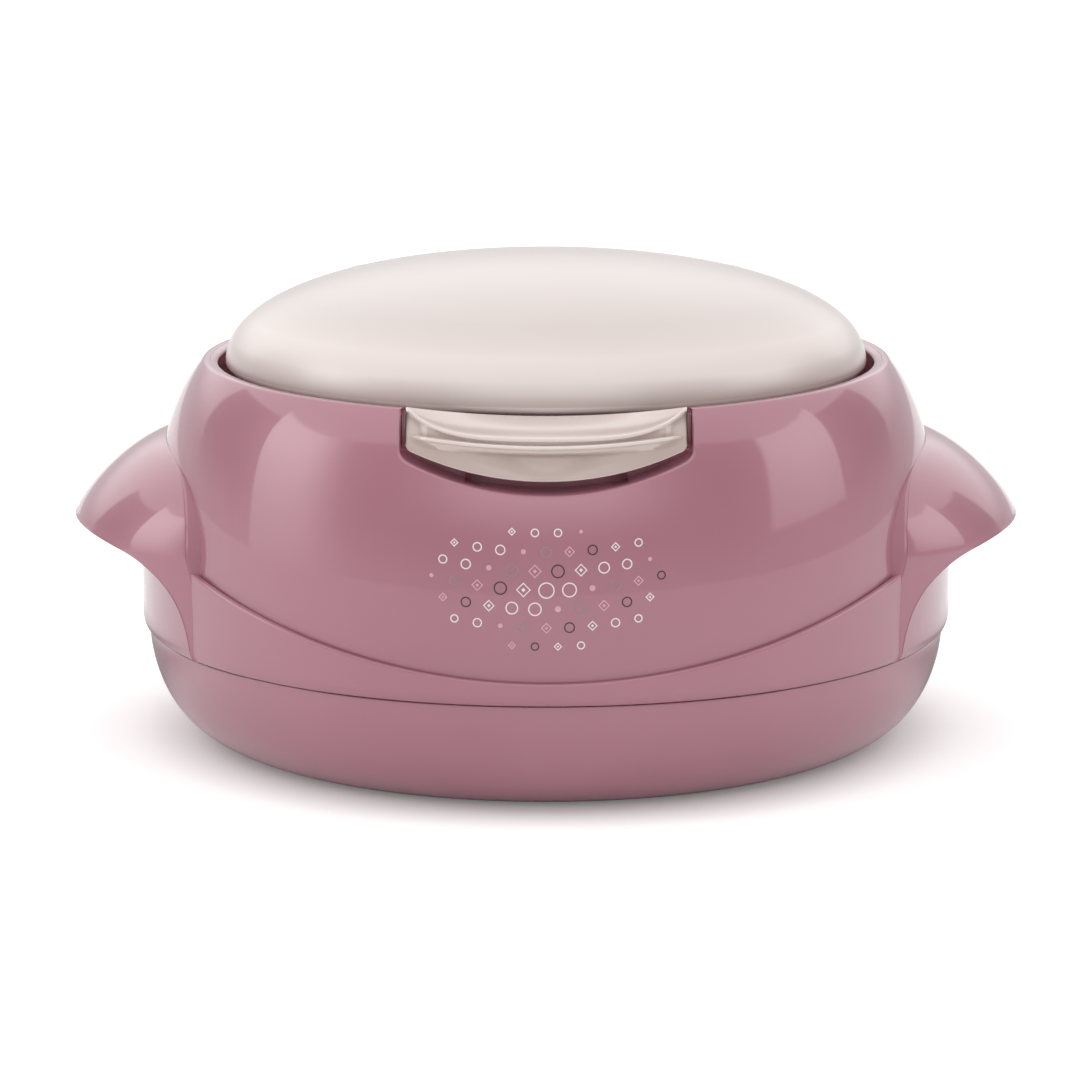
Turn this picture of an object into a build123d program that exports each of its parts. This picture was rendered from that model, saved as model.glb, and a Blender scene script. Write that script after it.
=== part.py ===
"""Insulated chapati casserole: moulded outer shells, steel bowl, hinged domed lid and front latch.

Millimetres. +Z is up, the front latch faces -Y, the handles stand at +X and -X, and the origin
is the centre of the base on the surface that the casserole stands on.
"""
import os
from math import cos, radians, sin, sqrt

from build123d import *

# ---- outer body -------------------------------------------------------------------------------
WALL = 2.3                      # moulded wall thickness
FIT_GAP = 0.1                   # between pieces that slip into each other
FOOT_RADIUS = 96.0              # where the base meets the table
FOOT_RECESS = 2.6               # the base's floor is lifted by this inside the foot ring
FOOT_RING_WIDTH = 9.0
FOOT_SLOPE = 1.5                # draft of the foot ring's inner side
BASE_FLOOR_PULL = 118.0         # the base's outline leaves the table towards this radius
BASE_WALL_PULL_Z = 22.2         # and comes up to the seam from this height
BASE_INSIDE = ((117.2, 14.0), (104, 6.4))   # inner side of the bowl-shaped wall as (r, z)
SEAM_Z = 35.0                   # joint between the base and the band
SEAM_GAP = 0.4
BODY_RADIUS = 125.2             # base and shoulder at the seam
BAND_RADIUS = 127.2             # the band stands proud of both
SPIGOT_RADIUS = 122.6           # the base's upstand inside the shoulder shell
SPIGOT_TOP = 41.0
SHOULDER_STRAIGHT_TOP = 50.0
SHOULDER_WALL_PULL = 28.2       # curve handles of the shoulder, below and above
SHOULDER_RIM_PULL = 16.2
SHOULDER_TOP = (107.3, 117.9)   # where the shoulder rolls over into the rim (r, z)
SHOULDER_LEAN = 47.2            # its slope there, degrees
RIM_ROLL = (106.2, 118.25)      # middle of the roll

# ---- rim ring, bowl ---------------------------------------------------------------------------
RIM_Z = 118.4                   # highest line of the rim
RIM_BEAD = 0.5                  # chamfers on the rim ring
RIM_FLANGE = 2.7                # thickness of its flange over the shoulder shell's seat
RIM_SEAM_RADIUS = 105.0         # shoulder shell outside, rim ring inside
RIM_INNER_RADIUS = 101.2
RIM_MOUTH_RADIUS = 102.4        # its inner wall widens to this at the top
LEDGE_Z = 105.5                 # the lid's seal lies over this ledge
LEDGE_THICKNESS = 2.0
LEDGE_INNER_RADIUS = 92.4
BOWL_FLANGE_RADIUS = 97.0
BOWL_RADIUS = 91.0              # inside of the steel bowl
STEEL = 0.8
BOWL_FLOOR_Z = 14.0
BOWL_CORNER = 18.0

# ---- base cover, fill plugs, foam ---------------------------------------------------------------
COVER_RADIUS = 62.0
COVER_THICKNESS = 1.6
COVER_SEAT = 0.4                # depth of its seat in the base's floor
FILL_HOLE_RADIUS = 7.0
PLUG_HEAD_RADIUS = 9.5
PLUG_HEAD_HEIGHT = 2.0
FOAM_FLOOR_Z = 5.2
FOAM_FOOT_RADIUS = 86.0
FOAM_RADIUS = 119.9             # the body's foam at the height of the spigot

# ---- band and handles -------------------------------------------------------------------------
BAND_LOW_Z = 42.0               # top of the band at the middle of the front
BAND_SWEEP_RADIUS = 288.0       # the band's top edge is an arc of this radius, seen from the front
HOOD_RADIUS = 78.5              # plan radius of the hooded handle
HOOD_SHRINK = 12.0              # the plan radius is smaller by this at the root
HOOD_WALL = 2.5
HOOD_STEPS = 8
HOOD_TIP_Z = 66.0
# crest of the hood as (x, z), from the shoulder to the tip: a curve with these four handles
HOOD_CREST = ((119.0, 94.2), (133.2, 91.3), (148.8, 73.0), (149.2, HOOD_TIP_Z))
# half outlines seen from the side, as (y, z) from the middle outwards
HOOD_ARCH = ((0, 94.8), (30, 93.2), (55, 86.3), (66.5, 74.5), (70.2, 56))
HOOD_FREE_EDGE = ((0, 69.5), (30, 68.6), (48, 66.8), (58, 63.8), (65, 57), (68.6, 46), (69.9, 30))

# ---- lid --------------------------------------------------------------------------------------
DOME_RADIUS = 100.2
DOME_EDGE_Z = 117.2
DOME_TOP_Z = 149.4
DOME_CROWN_PULL = 54.9          # handle lengths of the curve from crown to edge
DOME_EDGE_PULL = 21.3
DOME_LIP = (98.8, 115.8)        # inner corner of the rolled edge (r, z)
DOME_LIP_ROLL = 0.45
SKIRT_RADIUS = 97.6
SKIRT_WALL = 2.0
SKIRT_BOTTOM_Z = 108.8
LINER_RADIUS = 89.5
LINER_FLANGE_Z = 107.3
LINER_FLOOR_Z = 102.0
LINER_WALL = 1.4
LINER_CORNER = 3.0
LINER_COLLAR_Z = 112.0
SEAL_OUTER_RADIUS = 97.0
SEAL_BOTTOM_Z = 105.9

# ---- rear hinge -------------------------------------------------------------------------------
HINGE_Y = 118.0
HINGE_Z = 122.0
HINGE_PIN_RADIUS = 2.0
HINGE_CLEARANCE = 0.05
KNUCKLE_RADIUS = 5.5
KNUCKLE_GAP = 0.5
BODY_KNUCKLE = (18.0, 32.0)     # |x| range of the two knuckles on the body
LID_KNUCKLE_END = 46.0
# side outline of the arm under a body knuckle, as (y, z)
HINGE_ARM = ((114.2, 126.0), (104, 117), (104, 105), (107.5, 105), (114.6, 117.6), (HINGE_Y, HINGE_Z))
BRIDGE_HALF_WIDTH = 66.5
BRIDGE_FRONT_Y = 58.0
BRIDGE_MIDDLE_Y = 80.0
BRIDGE_TOP_Z = 141.0            # crest of the bridge at BRIDGE_MIDDLE_Y
BRIDGE_SLOPE = 7.4
BRIDGE_ARCH_RADIUS = 370.0
BRIDGE_SHOULDER = 4.0           # rounding along its two sides
BRIDGE_REACH = 8.5              # barrel cover about the hinge axis
BRIDGE_BOTTOM_Z = 120.8
BRIDGE_BACK = ((110.0, 138.0), 130.0)   # curve handles of its back, the second above the hinge
BRIDGE_CORNERS = (5.0, 20.0)    # plan radii of its front and rear corners
KNUCKLE_WEB = 5.0
SCREW_SPOTS = ((-48, 77), (-22, 88), (22, 88), (48, 77))
SCREW_SEAT_Z = 120.0            # foot of the lid's screw bosses
SCREW_RADIUS = 1.45
SCREW_LENGTH = 17.0
SCREW_HEAD_RADIUS = 2.9
SCREW_HEAD_HEIGHT = 2.3
SCREW_SLOT = (3.4, 0.8, 2.0)
BOSS_RADIUS = 4.4

# ---- front latch ------------------------------------------------------------------------------
LATCH_PIVOT_Y = -103.6
LATCH_PIVOT_Z = 110.8
LATCH_PIN_RADIUS = 1.25
LATCH_PIN_END = 39.0
LATCH_BARREL_RADIUS = 2.9
LATCH_HALF_WIDTH = 40.7
LATCH_CORNER_Z = 106.8
LATCH_BOTTOM_Z = 99.2
LATCH_WALL = 2.6
RECESS_HALF_WIDTH = 42.2
RECESS_CORNER_Z = 104.5
RECESS_BOTTOM_Z = 95.5
RECESS_BACK_RADIUS = 105.9
RECESS_SILL_Z = 105.3
RECESS_WALL = 1.8
EAR = (30.0, 34.0)              # |x| range of the lid's two ears
# side outline of the space in the latch for one ear, as (y, z)
EAR_ROOM = ((-107.0, 104.0), (-107.0, 111.8), (-106.0, 113.4), (-104.6, 114.2), (-102.2, 114.3),
            (-99.0, 117.2), (-99.0, 104.0))
VISOR_TILT = 13.9               # the latch's top slopes down to the front by this, degrees
VISOR_RADIUS = 62.6             # radius of its front edge, centred at VISOR_Y
VISOR_Y = -55.7
VISOR_FRONT_Z = 111.7           # height of the middle of that edge
VISOR_LIP = 1.0                 # thickness of the edge
VISOR_STEP = 1.1                # the visor's body stands back from the edge by this
STEP_TILT = 10.4                # the ridge below the visor, a flatter disc of its own
STEP_RADIUS = 77.4
STEP_Y = -41.6
STEP_FRONT_Z = 109.1
STEP_BACK_RADIUS = 109.6
ROOF_RADIUS = 430.0             # the latch's top is hollow from side to side by this
ROOF_FRONT = (-180.0, 96.2)     # (y, z) of a point on its middle line, in front of the latch
RIB_X = 21.2                    # two snap ribs behind the latch run in grooves of the recess
RIB_SIZE = (3.0, 8.0, 9.0)
GROOVE_SIZE = (4.3, 2.8, 12.0)
SLOT_SIZE = (4.3, 9.5, 2.0)     # the grooves go on forwards in the floor of the recess
SLOT_AT = (-110.0, 97.7)        # middle of that part (y, z)
SLOT_TILT = 11.8                # slope of the floor there, degrees
POCKET_REAR_Y = 92.0            # the window of the recess is cut from this depth forwards
POCKET_DEPTH = 43.0

os.makedirs("parts", exist_ok=True)


def save(node, *solids):
    """Write one node; several separate solids become one compound."""
    shape = solids[0] if len(solids) == 1 else Compound(children=list(solids))
    export_step(shape, f"parts/{node}.step")


def turned(*edges):
    """Solid of revolution about the Z axis of a closed outline drawn as (r, z)."""
    outline = Plane.XZ * make_face(Curve() + list(edges))
    return revolve(outline, Axis.Z)


def turned_polygon(*points):
    return revolve(Plane.XZ * make_face(Polyline(*points, close=True)), Axis.Z)


def polygon(*points):
    return make_face(Polyline(*points, close=True))


def disc(radius, low, high):
    """Cylinder about the Z axis between two heights."""
    return Pos(0, 0, (low + high) / 2) * Cylinder(radius, high - low)


def side_prism(half_width, outline, centre_x=0.0):
    """Extrude a closed outline drawn as (y, z) along X, to both sides of centre_x."""
    face = Plane.YZ.offset(centre_x) * outline
    return extrude(face, half_width, both=True)


def front_prism(half_width, corner_z, bottom_z):
    """U-shaped window seen from the front, open at the top, reaching through the front wall."""
    top = 130.0
    right = (half_width, corner_z)
    left = (-half_width, corner_z)
    sides = Polyline(left, (-half_width, top), (half_width, top), right)
    bottom = ThreePointArc(right, (0, bottom_z), left)
    face = make_face(Curve() + [sides, bottom])
    return extrude(Plane.XZ.offset(POCKET_REAR_Y) * face, POCKET_DEPTH)


def x_cylinder(radius, x_from, x_to, y, z):
    """Cylinder along X between two stations."""
    plane = Plane(origin=(x_from, y, z), x_dir=(0, 1, 0), z_dir=(1, 0, 0))
    return extrude(plane * Circle(radius), x_to - x_from)


def both_sides(solid):
    return [solid, mirror(solid, about=Plane.YZ)]


def at_screws(low, high, radius):
    """One upright cylinder at each of the hinge bridge's screws."""
    return [Pos(x, y, 0) * disc(radius, low, high) for x, y in SCREW_SPOTS]


# ---- profiles shared by neighbouring shells -----------------------------------------------------
def base_curve(inset):
    """Lower bowl, from the foot up to the seam, moved in by the wall's inset."""
    radius = BODY_RADIUS - inset
    foot = (FOOT_RADIUS, inset)
    foot_pull = (BASE_FLOOR_PULL - inset, inset)
    return Bezier(foot, foot_pull, (radius, BASE_WALL_PULL_Z), (radius, SEAM_Z - SEAM_GAP / 2))


def shoulder_line(inset):
    """Shoulder from below the band up to the rim, moved in by the wall's inset."""
    radius = BODY_RADIUS - inset
    lean = radians(SHOULDER_LEAN)
    top_r = SHOULDER_TOP[0] - inset * sin(lean)
    top_z = SHOULDER_TOP[1] - inset * cos(lean)
    wall_pull = (radius, SHOULDER_STRAIGHT_TOP + SHOULDER_WALL_PULL)
    rim_pull = (top_r + SHOULDER_RIM_PULL * cos(lean), top_z - SHOULDER_RIM_PULL * sin(lean))
    curve = Bezier((radius, SHOULDER_STRAIGHT_TOP), wall_pull, rim_pull, (top_r, top_z))
    straight = Line((radius, SEAM_Z + SEAM_GAP / 2), (radius, SHOULDER_STRAIGHT_TOP))
    return straight, curve


def dome_curve(inset):
    radius = DOME_RADIUS - inset
    top = DOME_TOP_Z - inset
    edge_pull = (radius, DOME_EDGE_Z + DOME_EDGE_PULL - inset / 2)
    return Bezier((0, top), (DOME_CROWN_PULL, top), edge_pull, (radius, DOME_EDGE_Z))


def shoulder_body(inset=0.0):
    """Everything inside the shoulder's outer surface, as one solid."""
    straight, curve = shoulder_line(inset)
    top = curve @ 1
    foot = straight @ 0
    close = Polyline((top.X, top.Y), (0, top.Y), (0, foot.Y), (foot.X, foot.Y))
    return turned(straight, curve, close)


def dome_body():
    """Everything inside the dome's outer surface, down to its skirt."""
    edge = (DOME_RADIUS, DOME_EDGE_Z)
    close = Polyline(edge, (DOME_RADIUS, SKIRT_BOTTOM_Z), (0, SKIRT_BOTTOM_Z), (0, DOME_TOP_Z))
    return turned(dome_curve(0), close)


def outside(radius):
    """Tall tube of space outside a radius."""
    return Pos(0, 0, 75) * (Cylinder(200, 200) - Cylinder(radius, 200))


# ---- base ---------------------------------------------------------------------------------------
def base_shell():
    """Bowl-shaped lower shell with its foot ring and the spigot that enters the shoulder shell."""
    outer = base_curve(0)
    seam = outer @ 1
    wall_top = (BODY_RADIUS - WALL, seam.Y - 6)
    spigot_inner = SPIGOT_RADIUS - WALL
    top = Polyline((seam.X, seam.Y), (SPIGOT_RADIUS, seam.Y), (SPIGOT_RADIUS, SPIGOT_TOP),
                   (spigot_inner, SPIGOT_TOP), (spigot_inner, seam.Y - 4), wall_top)
    ring_inner = FOOT_RADIUS - FOOT_RING_WIDTH
    floor_top = (ring_inner, FOOT_RECESS + WALL)
    inner = Spline(wall_top, *BASE_INSIDE, floor_top, tangents=((0, -1), (-1, 0)))
    floor = Polyline(floor_top, (0, FOOT_RECESS + WALL), (0, FOOT_RECESS), (ring_inner, FOOT_RECESS),
                     (ring_inner + FOOT_SLOPE, 0), (FOOT_RADIUS, 0))
    shell = turned(outer, top, inner, floor)
    cover_seat = disc(COVER_RADIUS + 2 * FIT_GAP, 0, FOOT_RECESS + COVER_SEAT)
    return shell - cover_seat - disc(FILL_HOLE_RADIUS, 0, 20)


def base_cover():
    """Snap-in disc that hides the fill hole; its rim is chamfered."""
    top = FOOT_RECESS + COVER_SEAT
    cover = disc(COVER_RADIUS, top - COVER_THICKNESS, top)
    return chamfer(cover.edges().sort_by(Axis.Z)[0], 0.5)


def base_fill_plug():
    """Stopper in the base's fill hole; its head lies on the floor's upper side."""
    floor_top = FOOT_RECESS + WALL
    stem = disc(FILL_HOLE_RADIUS - FIT_GAP, FOOT_RECESS + COVER_SEAT, floor_top + 2)
    head = disc(PLUG_HEAD_RADIUS, floor_top + FIT_GAP, floor_top + FIT_GAP + PLUG_HEAD_HEIGHT)
    return stem + head


# ---- band with its two hooded handles -------------------------------------------------------------
def hood_body(inset):
    """Solid hood: a plan circle carried up the crest and tightened towards the root."""
    crest = Bezier(*HOOD_CREST)
    rise = HOOD_CREST[0][1] - HOOD_TIP_Z
    sections = []
    for step in range(HOOD_STEPS + 1):
        point = crest @ (1 - step / HOOD_STEPS)
        slope = crest % (1 - step / HOOD_STEPS)
        radius = HOOD_RADIUS - HOOD_SHRINK * ((point.Y - HOOD_TIP_Z) / rise) ** 3 - inset
        x = point.X + inset * slope.Y
        z = point.Y - inset * slope.X
        sections.append(Plane(origin=(x - radius, 0, z)) * Circle(radius))
    lowest = sections[0].center()
    skirt = Plane(origin=lowest) * Circle(HOOD_RADIUS - inset)
    return loft(sections) + extrude(skirt, lowest.Z - SEAM_Z - SEAM_GAP / 2, dir=(0, 0, -1))


def mirrored_spline(half, end_z):
    """Symmetrical face under a curve given as (y, z) from the middle outwards."""
    left = [(-y, z) for y, z in reversed(half[1:])]
    curve = Spline(*left, *half)
    last_y = half[-1][0]
    last_z = half[-1][1]
    close = Polyline((last_y, last_z), (last_y, end_z), (-last_y, end_z), (-last_y, last_z))
    return make_face(Curve() + [curve, close])


def handle_band():
    """One moulding: a low belt that sweeps up at both sides into the hooded handles."""
    outer = hood_body(0)
    inner = hood_body(HOOD_WALL)
    low = SEAM_Z + SEAM_GAP / 2
    side_x = 130
    arch = side_prism(40, mirrored_spline(HOOD_ARCH, low), side_x)
    opening = side_prism(40, mirrored_spline(HOOD_FREE_EDGE, low - 10), side_x)
    hood = ((outer - inner - shoulder_body(-FIT_GAP)) & arch) - opening
    high = HOOD_CREST[0][1]
    ring = disc(BAND_RADIUS, low, high) - disc(BODY_RADIUS + FIT_GAP, low, high)
    sweep_plane = Plane(origin=(0, 150, BAND_LOW_Z + BAND_SWEEP_RADIUS), z_dir=(0, -1, 0))
    sweep = extrude(sweep_plane * Circle(BAND_SWEEP_RADIUS), 300)
    hood_space = outer & arch
    band = ring - (sweep - hood_space - mirror(hood_space, about=Plane.YZ))
    return band + both_sides(hood)


# ---- shoulder shell with the latch recess and the hinge knuckles ------------------------------------
def recess_box():
    return front_prism(RECESS_HALF_WIDTH, RECESS_CORNER_Z, RECESS_BOTTOM_Z)


def notch_space():
    """Gap in the rim through which the latch's hinge reaches the lid."""
    return Pos(0, -110, RECESS_SILL_Z + 20) * Box(2 * RECESS_HALF_WIDTH, 40, 40)


def recess_wall():
    """Pocket behind the latch: side walls, floor and back wall, with a groove for each snap rib."""
    grow = RECESS_WALL
    block = front_prism(RECESS_HALF_WIDTH + grow, RECESS_CORNER_Z - grow, RECESS_BOTTOM_Z - grow)
    block = block & (shoulder_body() - disc(RIM_INNER_RADIUS + WALL + FIT_GAP, 0, 150))
    block = block - (recess_box() & outside(RECESS_BACK_RADIUS))
    rim_room = disc(RIM_SEAM_RADIUS + FIT_GAP, RIM_Z - RIM_FLANGE - 0.3, RIM_Z + 3)
    back_y = -sqrt(RECESS_BACK_RADIUS ** 2 - RIB_X ** 2)
    groove = Pos(RIB_X, back_y, RECESS_SILL_Z - 3.8) * Box(*GROOVE_SIZE)
    slot = Pos(RIB_X, *SLOT_AT) * Rot(0, -SLOT_TILT, 0) * Box(*SLOT_SIZE)
    return block - notch_space() - rim_room - both_sides(groove) - both_sides(slot)


def hinge_arm():
    """One body knuckle with the arm that carries it off the shoulder."""
    start, end = BODY_KNUCKLE
    arm = side_prism((end - start) / 2, polygon(*HINGE_ARM), (start + end) / 2)
    barrel = x_cylinder(KNUCKLE_RADIUS, start, end, HINGE_Y, HINGE_Z)
    bore = x_cylinder(HINGE_PIN_RADIUS + HINGE_CLEARANCE, start, end, HINGE_Y, HINGE_Z)
    return arm + barrel - shoulder_body(WALL / 2) - bore


def shoulder_shell():
    straight, outer = shoulder_line(0)
    inner_straight, inner = shoulder_line(WALL)
    top = outer @ 1
    under = inner @ 1
    low = straight @ 0
    inner_low = inner_straight @ 0
    seat = (RIM_SEAM_RADIUS + FIT_GAP, RIM_Z - FIT_GAP)
    lip = Spline((top.X, top.Y), RIM_ROLL, seat, tangents=((-0.7, 0.7), (-1, 0)))
    step = Polyline(seat, (seat[0], under.Y), (under.X, under.Y))
    foot = Line((inner_low.X, inner_low.Y), (low.X, low.Y))
    shell = turned(straight, outer, lip, step, inner, inner_straight, foot)
    shell = shell - recess_box() + recess_wall()
    return shell + both_sides(hinge_arm())


# ---- rim ring and steel bowl ------------------------------------------------------------------------
def rim_ring():
    """Ring that closes the body's top: flange outside, ledge for the lid's seal inside."""
    bead = RIM_BEAD
    low = LEDGE_Z - LEDGE_THICKNESS
    outer = RIM_INNER_RADIUS + WALL
    flange_low = RIM_Z - RIM_FLANGE
    ring = turned_polygon((RIM_MOUTH_RADIUS, RIM_Z - bead), (RIM_MOUTH_RADIUS + bead, RIM_Z),
                          (RIM_SEAM_RADIUS - bead, RIM_Z), (RIM_SEAM_RADIUS, RIM_Z - bead),
                          (RIM_SEAM_RADIUS, flange_low), (outer, flange_low), (outer, low),
                          (LEDGE_INNER_RADIUS, low), (LEDGE_INNER_RADIUS, LEDGE_Z),
                          (RIM_INNER_RADIUS, LEDGE_Z))
    return ring - (notch_space() & outside(RIM_INNER_RADIUS - FIT_GAP))


def bowl_wall(radius, floor_z, top_z, corner):
    """Inside line of the bowl from its top down to the middle of its floor."""
    wall = Line((radius, top_z), (radius, floor_z + corner))
    turn = CenterArc((radius - corner, floor_z + corner), corner, 270, 90)
    floor = Line((radius - corner, floor_z), (0, floor_z))
    return wall, turn, floor


def inner_bowl():
    """Pressed steel bowl, its flange clamped under the rim ring's ledge."""
    top = LEDGE_Z - LEDGE_THICKNESS
    outer_radius = BOWL_RADIUS + STEEL
    under_z = BOWL_FLOOR_Z - STEEL
    outer = bowl_wall(outer_radius, under_z, top - STEEL, BOWL_CORNER + STEEL)
    inner = bowl_wall(BOWL_RADIUS, BOWL_FLOOR_Z, top, BOWL_CORNER)
    flange = Polyline((BOWL_RADIUS, top), (BOWL_FLANGE_RADIUS, top),
                      (BOWL_FLANGE_RADIUS, top - STEEL), (outer_radius, top - STEEL))
    middle = Line((0, BOWL_FLOOR_Z), (0, under_z))
    return turned(*outer, *inner, flange, middle)


def body_foam():
    """Rigid foam that fills the space between the outer shells and the bowl."""
    spigot = (FOAM_RADIUS, SPIGOT_TOP - 1)
    base = Bezier((FOAM_FOOT_RADIUS, FOAM_FLOOR_Z), (108, FOAM_FLOOR_Z + 0.4),
                  (FOAM_RADIUS - 0.4, BASE_WALL_PULL_Z), spigot)
    radius = BODY_RADIUS - WALL - FIT_GAP
    shelf = SPIGOT_TOP + 0.3
    join = Polyline(spigot, (FOAM_RADIUS, shelf), (radius, shelf), (radius, SHOULDER_STRAIGHT_TOP))
    shoulder = shoulder_line(WALL + FIT_GAP)[1]
    top = shoulder @ 1
    bowl_gap = STEEL + FIT_GAP
    flange = LEDGE_Z - LEDGE_THICKNESS - bowl_gap
    bowl = BOWL_RADIUS + bowl_gap
    collar = RIM_INNER_RADIUS + WALL + FIT_GAP
    ceiling = RIM_Z - RIM_FLANGE - 2 * FIT_GAP
    inside = Polyline((top.X, top.Y), (top.X, ceiling), (collar, ceiling), (collar, flange), (bowl, flange))
    wall, turn, floor = bowl_wall(bowl, BOWL_FLOOR_Z - bowl_gap, flange, BOWL_CORNER + bowl_gap)
    middle = Polyline((0, BOWL_FLOOR_Z - bowl_gap), (0, FOAM_FLOOR_Z), (FOAM_FOOT_RADIUS, FOAM_FLOOR_Z))
    foam = turned(base, join, shoulder, inside, wall, turn, floor, middle)
    room = RECESS_WALL + 2 * FIT_GAP
    pocket = front_prism(RECESS_HALF_WIDTH + room, RECESS_CORNER_Z - room, RECESS_BOTTOM_Z - room)
    arm_width = BODY_KNUCKLE[1] - BODY_KNUCKLE[0] + 4 * FIT_GAP
    arm_room = Pos(sum(BODY_KNUCKLE) / 2, 108, 112) * Box(arm_width, 16, 15)
    plug_room = disc(PLUG_HEAD_RADIUS + 2 * FIT_GAP, 0, FOAM_FLOOR_Z + 3.3)
    pocket = pocket & outside(collar - FIT_GAP)
    return foam - pocket - both_sides(arm_room) - plug_room


# ---- lid ---------------------------------------------------------------------------------------------
def latch_ear():
    """Lug on the lid's skirt that holds one end of the latch's pin."""
    low = LATCH_PIVOT_Z - LATCH_BARREL_RADIUS
    high = LATCH_PIVOT_Z
    arm = polygon((LATCH_PIVOT_Y, low), (LATCH_PIVOT_Y, high), (-90, high), (-90, low))
    ear = side_prism((EAR[1] - EAR[0]) / 2, arm, (EAR[0] + EAR[1]) / 2)
    ear = ear - disc(SKIRT_RADIUS - 1, SKIRT_BOTTOM_Z - 15, SKIRT_BOTTOM_Z + 15)
    ear = ear - disc(SKIRT_RADIUS + FIT_GAP, SKIRT_BOTTOM_Z - 10, SKIRT_BOTTOM_Z)
    ear = ear + x_cylinder(LATCH_BARREL_RADIUS, *EAR, LATCH_PIVOT_Y, LATCH_PIVOT_Z)
    return ear - x_cylinder(LATCH_PIN_RADIUS + HINGE_CLEARANCE, *EAR, LATCH_PIVOT_Y, LATCH_PIVOT_Z)


def lid_shell():
    """Dome with a rolled edge, a skirt that enters the rim, screw bosses and the latch's ears."""
    outer = dome_curve(0)
    inner = dome_curve(WALL)
    edge_roll = (DOME_RADIUS - DOME_LIP_ROLL, DOME_EDGE_Z - 1.0)
    lip = ThreePointArc((DOME_RADIUS, DOME_EDGE_Z), edge_roll, DOME_LIP)
    skirt_inner = SKIRT_RADIUS - SKIRT_WALL
    skirt = Polyline(DOME_LIP, (SKIRT_RADIUS, DOME_LIP[1]), (SKIRT_RADIUS, SKIRT_BOTTOM_Z),
                     (skirt_inner, SKIRT_BOTTOM_Z), (skirt_inner, DOME_EDGE_Z),
                     (DOME_RADIUS - WALL, DOME_EDGE_Z))
    crown = Line((0, DOME_TOP_Z - WALL), (0, DOME_TOP_Z))
    shell = turned(outer, lip, skirt, inner, crown)
    dome = dome_body()
    bosses = [boss & dome for boss in at_screws(SCREW_SEAT_Z, DOME_TOP_Z, BOSS_RADIUS)]
    holes = at_screws(SKIRT_BOTTOM_Z, DOME_TOP_Z, SCREW_RADIUS + 2 * FIT_GAP)
    return shell + bosses + both_sides(latch_ear()) - holes


def lid_liner():
    """Inner cover: a shallow pan that plugs the bowl's mouth and closes the lid's foam."""
    floor = LINER_FLOOR_Z
    flange = LINER_FLANGE_Z
    wall = LINER_WALL
    corner = LINER_CORNER
    skirt_low = SKIRT_BOTTOM_Z - FIT_GAP
    collar = SKIRT_RADIUS - SKIRT_WALL - FIT_GAP
    top = LINER_COLLAR_Z
    inner = LINER_RADIUS - wall
    outside_line = ((0, floor), (LINER_RADIUS - corner, floor), (LINER_RADIUS, floor + corner),
                    (LINER_RADIUS, flange), (SKIRT_RADIUS, flange), (SKIRT_RADIUS, skirt_low),
                    (collar, skirt_low), (collar, top))
    inside_line = ((collar - wall, top), (collar - wall, flange + wall), (inner, flange + wall),
                   (inner, floor + corner + wall / 2), (inner - corner + wall / 2, floor + wall),
                   (0, floor + wall))
    return turned_polygon(*outside_line, *inside_line) - disc(FILL_HOLE_RADIUS, floor - 5, floor + 5)


def lid_fill_plug():
    """Flush stopper in the middle of the liner."""
    floor_top = LINER_FLOOR_Z + LINER_WALL
    stem = disc(FILL_HOLE_RADIUS - FIT_GAP, LINER_FLOOR_Z, floor_top + 2 * FIT_GAP + 1)
    head = disc(PLUG_HEAD_RADIUS, floor_top + 2 * FIT_GAP, floor_top + 2 * FIT_GAP + PLUG_HEAD_HEIGHT)
    return chamfer((stem + head).edges().sort_by(Axis.Z)[0], 0.4)


def lid_seal():
    """Soft ring round the plug; its lip hangs just over the ledge."""
    top = LINER_FLANGE_Z
    low = SEAL_BOTTOM_Z
    root_z = top - 1.2
    inner = LINER_RADIUS + FIT_GAP
    outer = SEAL_OUTER_RADIUS
    return turned_polygon((inner, top), (inner, root_z), (inner + 3.4, root_z), (inner + 4.0, low + 0.2),
                          (outer - 1.0, low), (outer, low + 0.4), (outer - 0.6, top))


def lid_foam():
    """Rigid foam that fills the dome above the liner."""
    low = LINER_FLOOR_Z + LINER_WALL + FIT_GAP
    corner = LINER_CORNER - LINER_WALL / 2
    liner = LINER_RADIUS - LINER_WALL - FIT_GAP
    flange = LINER_FLANGE_Z + LINER_WALL + FIT_GAP
    skirt = SKIRT_RADIUS - SKIRT_WALL - FIT_GAP
    collar = skirt - LINER_WALL - FIT_GAP
    collar_z = LINER_COLLAR_Z + FIT_GAP
    inset = WALL + FIT_GAP
    edge = Polyline((DOME_RADIUS - inset, DOME_EDGE_Z), (skirt, DOME_EDGE_Z), (skirt, collar_z),
                    (collar, collar_z), (collar, flange), (liner, flange), (liner, low + corner),
                    (liner - corner, low), (0, low), (0, DOME_TOP_Z - inset))
    foam = turned(dome_curve(inset), edge)
    screws = at_screws(SCREW_SEAT_Z - SCREW_HEAD_HEIGHT - 0.7, DOME_TOP_Z, BOSS_RADIUS + 2 * FIT_GAP)
    return foam - screws - disc(PLUG_HEAD_RADIUS + 2 * FIT_GAP, low - 1, low + 3.5)


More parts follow.
